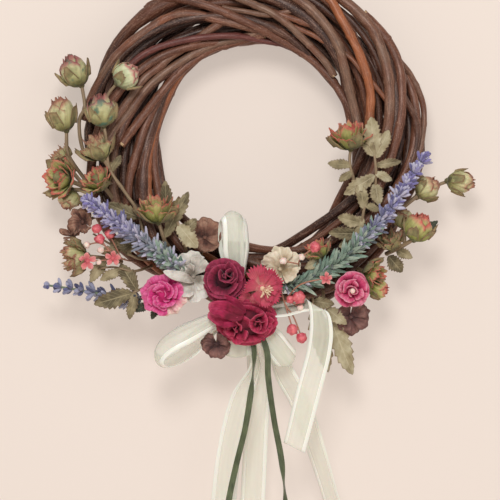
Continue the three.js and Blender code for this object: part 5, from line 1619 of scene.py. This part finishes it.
def tail(name, rows, ripple=1.0):
    """A tail of ribbon between two edges: (left across, left down, right across, right down, out, turn)."""
    edges = [[], []]
    for left_across, left_down, right_across, right_down, out, turn in rows:
        seen = math.hypot(right_across - left_across, right_down - left_down)
        hidden = turn * math.sqrt(max(0, RIBBON_WIDTH**2 - seen**2)) / 2
        edges[0].append(at((left_across, left_down, out - hidden)))
        edges[1].append(at((right_across, right_down, out + hidden)))
    left, right = (array_of(evenly_by_rows(points, TAIL_ROWS)) for points in edges)
    middle = (left + right) / 2
    length = run_along(middle)[-1]
    phase = about(0, 3)

    def shape(u, v):
        spot = np.clip(v, 0, 1) * (TAIL_ROWS - 1)
        row = np.minimum(spot.astype(int), TAIL_ROWS - 2)
        share = (spot - row)[:, None]
        a = left[row] * (1 - share) + left[row + 1] * share
        b = right[row] * (1 - share) + right[row + 1] * share
        across = ((u + 1) / 2)[:, None]
        normal = np.cross(b - a, np.gradient(middle, axis=0)[row])
        normal /= np.maximum(np.linalg.norm(normal, axis=1), 1e-9)[:, None]
        settle = np.minimum(1, 4 * v)
        down = v * length / TAIL_WAVES_EVERY
        waved = 0.9 * np.sin(9 * down + phase) * settle + 1.3 * u * np.sin(6.5 * down + phase)
        waved += 1.2 * (1 - u * u) * np.sin(4 * v + phase) + 0.8 * (1 - settle) * np.sin(9 * u)
        return a * (1 - across) + b * across + normal * (ripple * waved * MM)[:, None]

    piece = sheer(name, (12, 110), shape, length)
    fitted(piece, name)


def all_tails():
    tail("organza_tail_front", [
        (262, 305, 262, 318, 31, 1), (284, 300, 286, 317, 33, 1), (300, 297, 309, 311, 37, 1),
        (307, 301, 327, 312, 48, 1), (309, 320, 332, 328, 53, 1), (306, 348, 330, 352, 53, 1),
        (296, 387, 319, 396, 50, 1), (284, 441, 304, 451, 44, 1),
    ], 0.8)
    tail("organza_tail_left", [
        (235, 310, 245, 310, 22, 0), (240, 322, 252, 322, 11, -0.5), (246, 344, 258, 346, 6, -1),
        (250, 362, 262, 366, 5, -1), (231, 394, 252, 402, 10, -1), (218, 445, 241, 450, 10, -1),
        (212, 500, 236, 502, 10, -1), (210, 530, 234, 520, 10, -1),
    ])
    tail("organza_tail_middle", [
        (240, 311, 250, 311, 18, 0), (242, 321, 254, 321, -1, 0.3), (246, 350, 266, 350, -12, 1),
        (247, 380, 271, 382, -12, 1), (244, 430, 268, 432, -10, 1), (241, 500, 265, 502, -10, 1),
        (240, 522, 264, 532, -10, 1),
    ])
    tail("organza_tail_right", [
        (246, 311, 255, 310, 21, 0), (256, 323, 266, 320, 8, 0.5), (268, 352, 282, 348, 5, 1),
        (275, 376, 293, 370, 6, 1), (291, 404, 309, 398, 10, 1), (310, 458, 327, 452, 12, 1),
        (322, 500, 339, 496, 12, 1), (328, 528, 345, 518, 12, 1),
    ])


rose_burgundy_upper()
rose_burgundy_lower()
flower_crimson()
stamens_crimson()
rose_pink_left()
rose_pink_right()
buds_on_the_left()
buds_on_the_right()
all_lavender()
all_berries()
all_hydrangeas()
all_leaves()
organza_bow()
all_tails()


# The room: a pale wall, a pale floor and soft lamps

PALE = (240, 227, 217)
# How strongly the wall and floor glow by themselves, as painted light that lightens the shadows on them.
ROOM_GLOW = 0.5
SKY = (246, 240, 234)
SKY_STRENGTH = 0.42
LAMPS_LOOK_AT = (0, 0, -0.2)
WALL_SIZE = 3
FLOOR_SIZE = 6


def room_finish(name, one_sided):
    """A pale matt surface that also glows a little by itself: painted light that lightens the shadows cast
    on it.
    """
    finish = Finish(name, 0.95, Specular_IOR_Level=0.1, Emission_Color=tone(*PALE),
                    Emission_Strength=ROOM_GLOW)
    cloudy = finish.noise(finish.place(), 3, 2)
    share = 1 - ROOM_GLOW
    pale = finish.mix(cloudy, (*PALE, share), (*PALE, share * 0.98))
    finish.feed(finish.shader.inputs["Base Color"], pale)
    if one_sided:
        clear = finish.made("BsdfTransparent", {})
        front = Value(finish, finish.shader.outputs[0])
        behind = finish.made("NewGeometry", {}, "Backfacing")
        shown = finish.made("MixShader", {0: behind, 1: front, 2: clear})
        finish.feed(finish.tree.nodes["Material Output"].inputs["Surface"], shown)
    return finish.material


def add_plane(name, size, place, turn, finish):
    deselect()
    bpy.ops.mesh.primitive_plane_add(size=size, location=place, rotation=turn)
    plane = bpy.context.object
    plane.name = name
    return painted(plane, finish)


def add_room():
    wall = add_plane("wall", WALL_SIZE, (0, WALL_BACK, WALL_SIZE / 2 - FLOOR_DROP), (math.pi / 2, 0, 0),
                     room_finish("pale_wall", True))
    floor = add_plane("floor", FLOOR_SIZE, (0, 0, -FLOOR_DROP), (0, 0, 0), room_finish("pale_floor", False))


def add_lamp(name, place, size, power, colour=(1, 1, 1)):
    light = bpy.data.lights.new(name, "AREA")
    light.shape = "DISK"
    light.size = size
    light.energy = power
    light.color = colour
    lamp = bpy.data.objects.new(name, light)
    lamp.location = place
    lamp.rotation_euler = (Vector(LAMPS_LOOK_AT) - Vector(place)).to_track_quat("-Z", "Y").to_euler()
    bpy.context.scene.collection.objects.link(lamp)


def add_light():
    add_lamp("key", (-0.15, -2.05, 0.8), 0.75, 27.4, (1, 0.985, 0.965))
    add_lamp("fill", (1.4, -1.8, 0.2), 1.4, 5, (0.97, 0.985, 1))
    world = bpy.data.worlds.new("studio")
    bpy.context.scene.world = world
    world.use_nodes = True
    sky = world.node_tree.nodes["Background"]
    sky.inputs["Color"].default_value = tone(*SKY)
    sky.inputs["Strength"].default_value = SKY_STRENGTH


add_room()
add_light()
bpy.context.scene.view_settings.view_transform = "Standard"

for pattern_piece in [*patterns.values(), FLOCK_BUD]:
    bpy.data.objects.remove(pattern_piece)
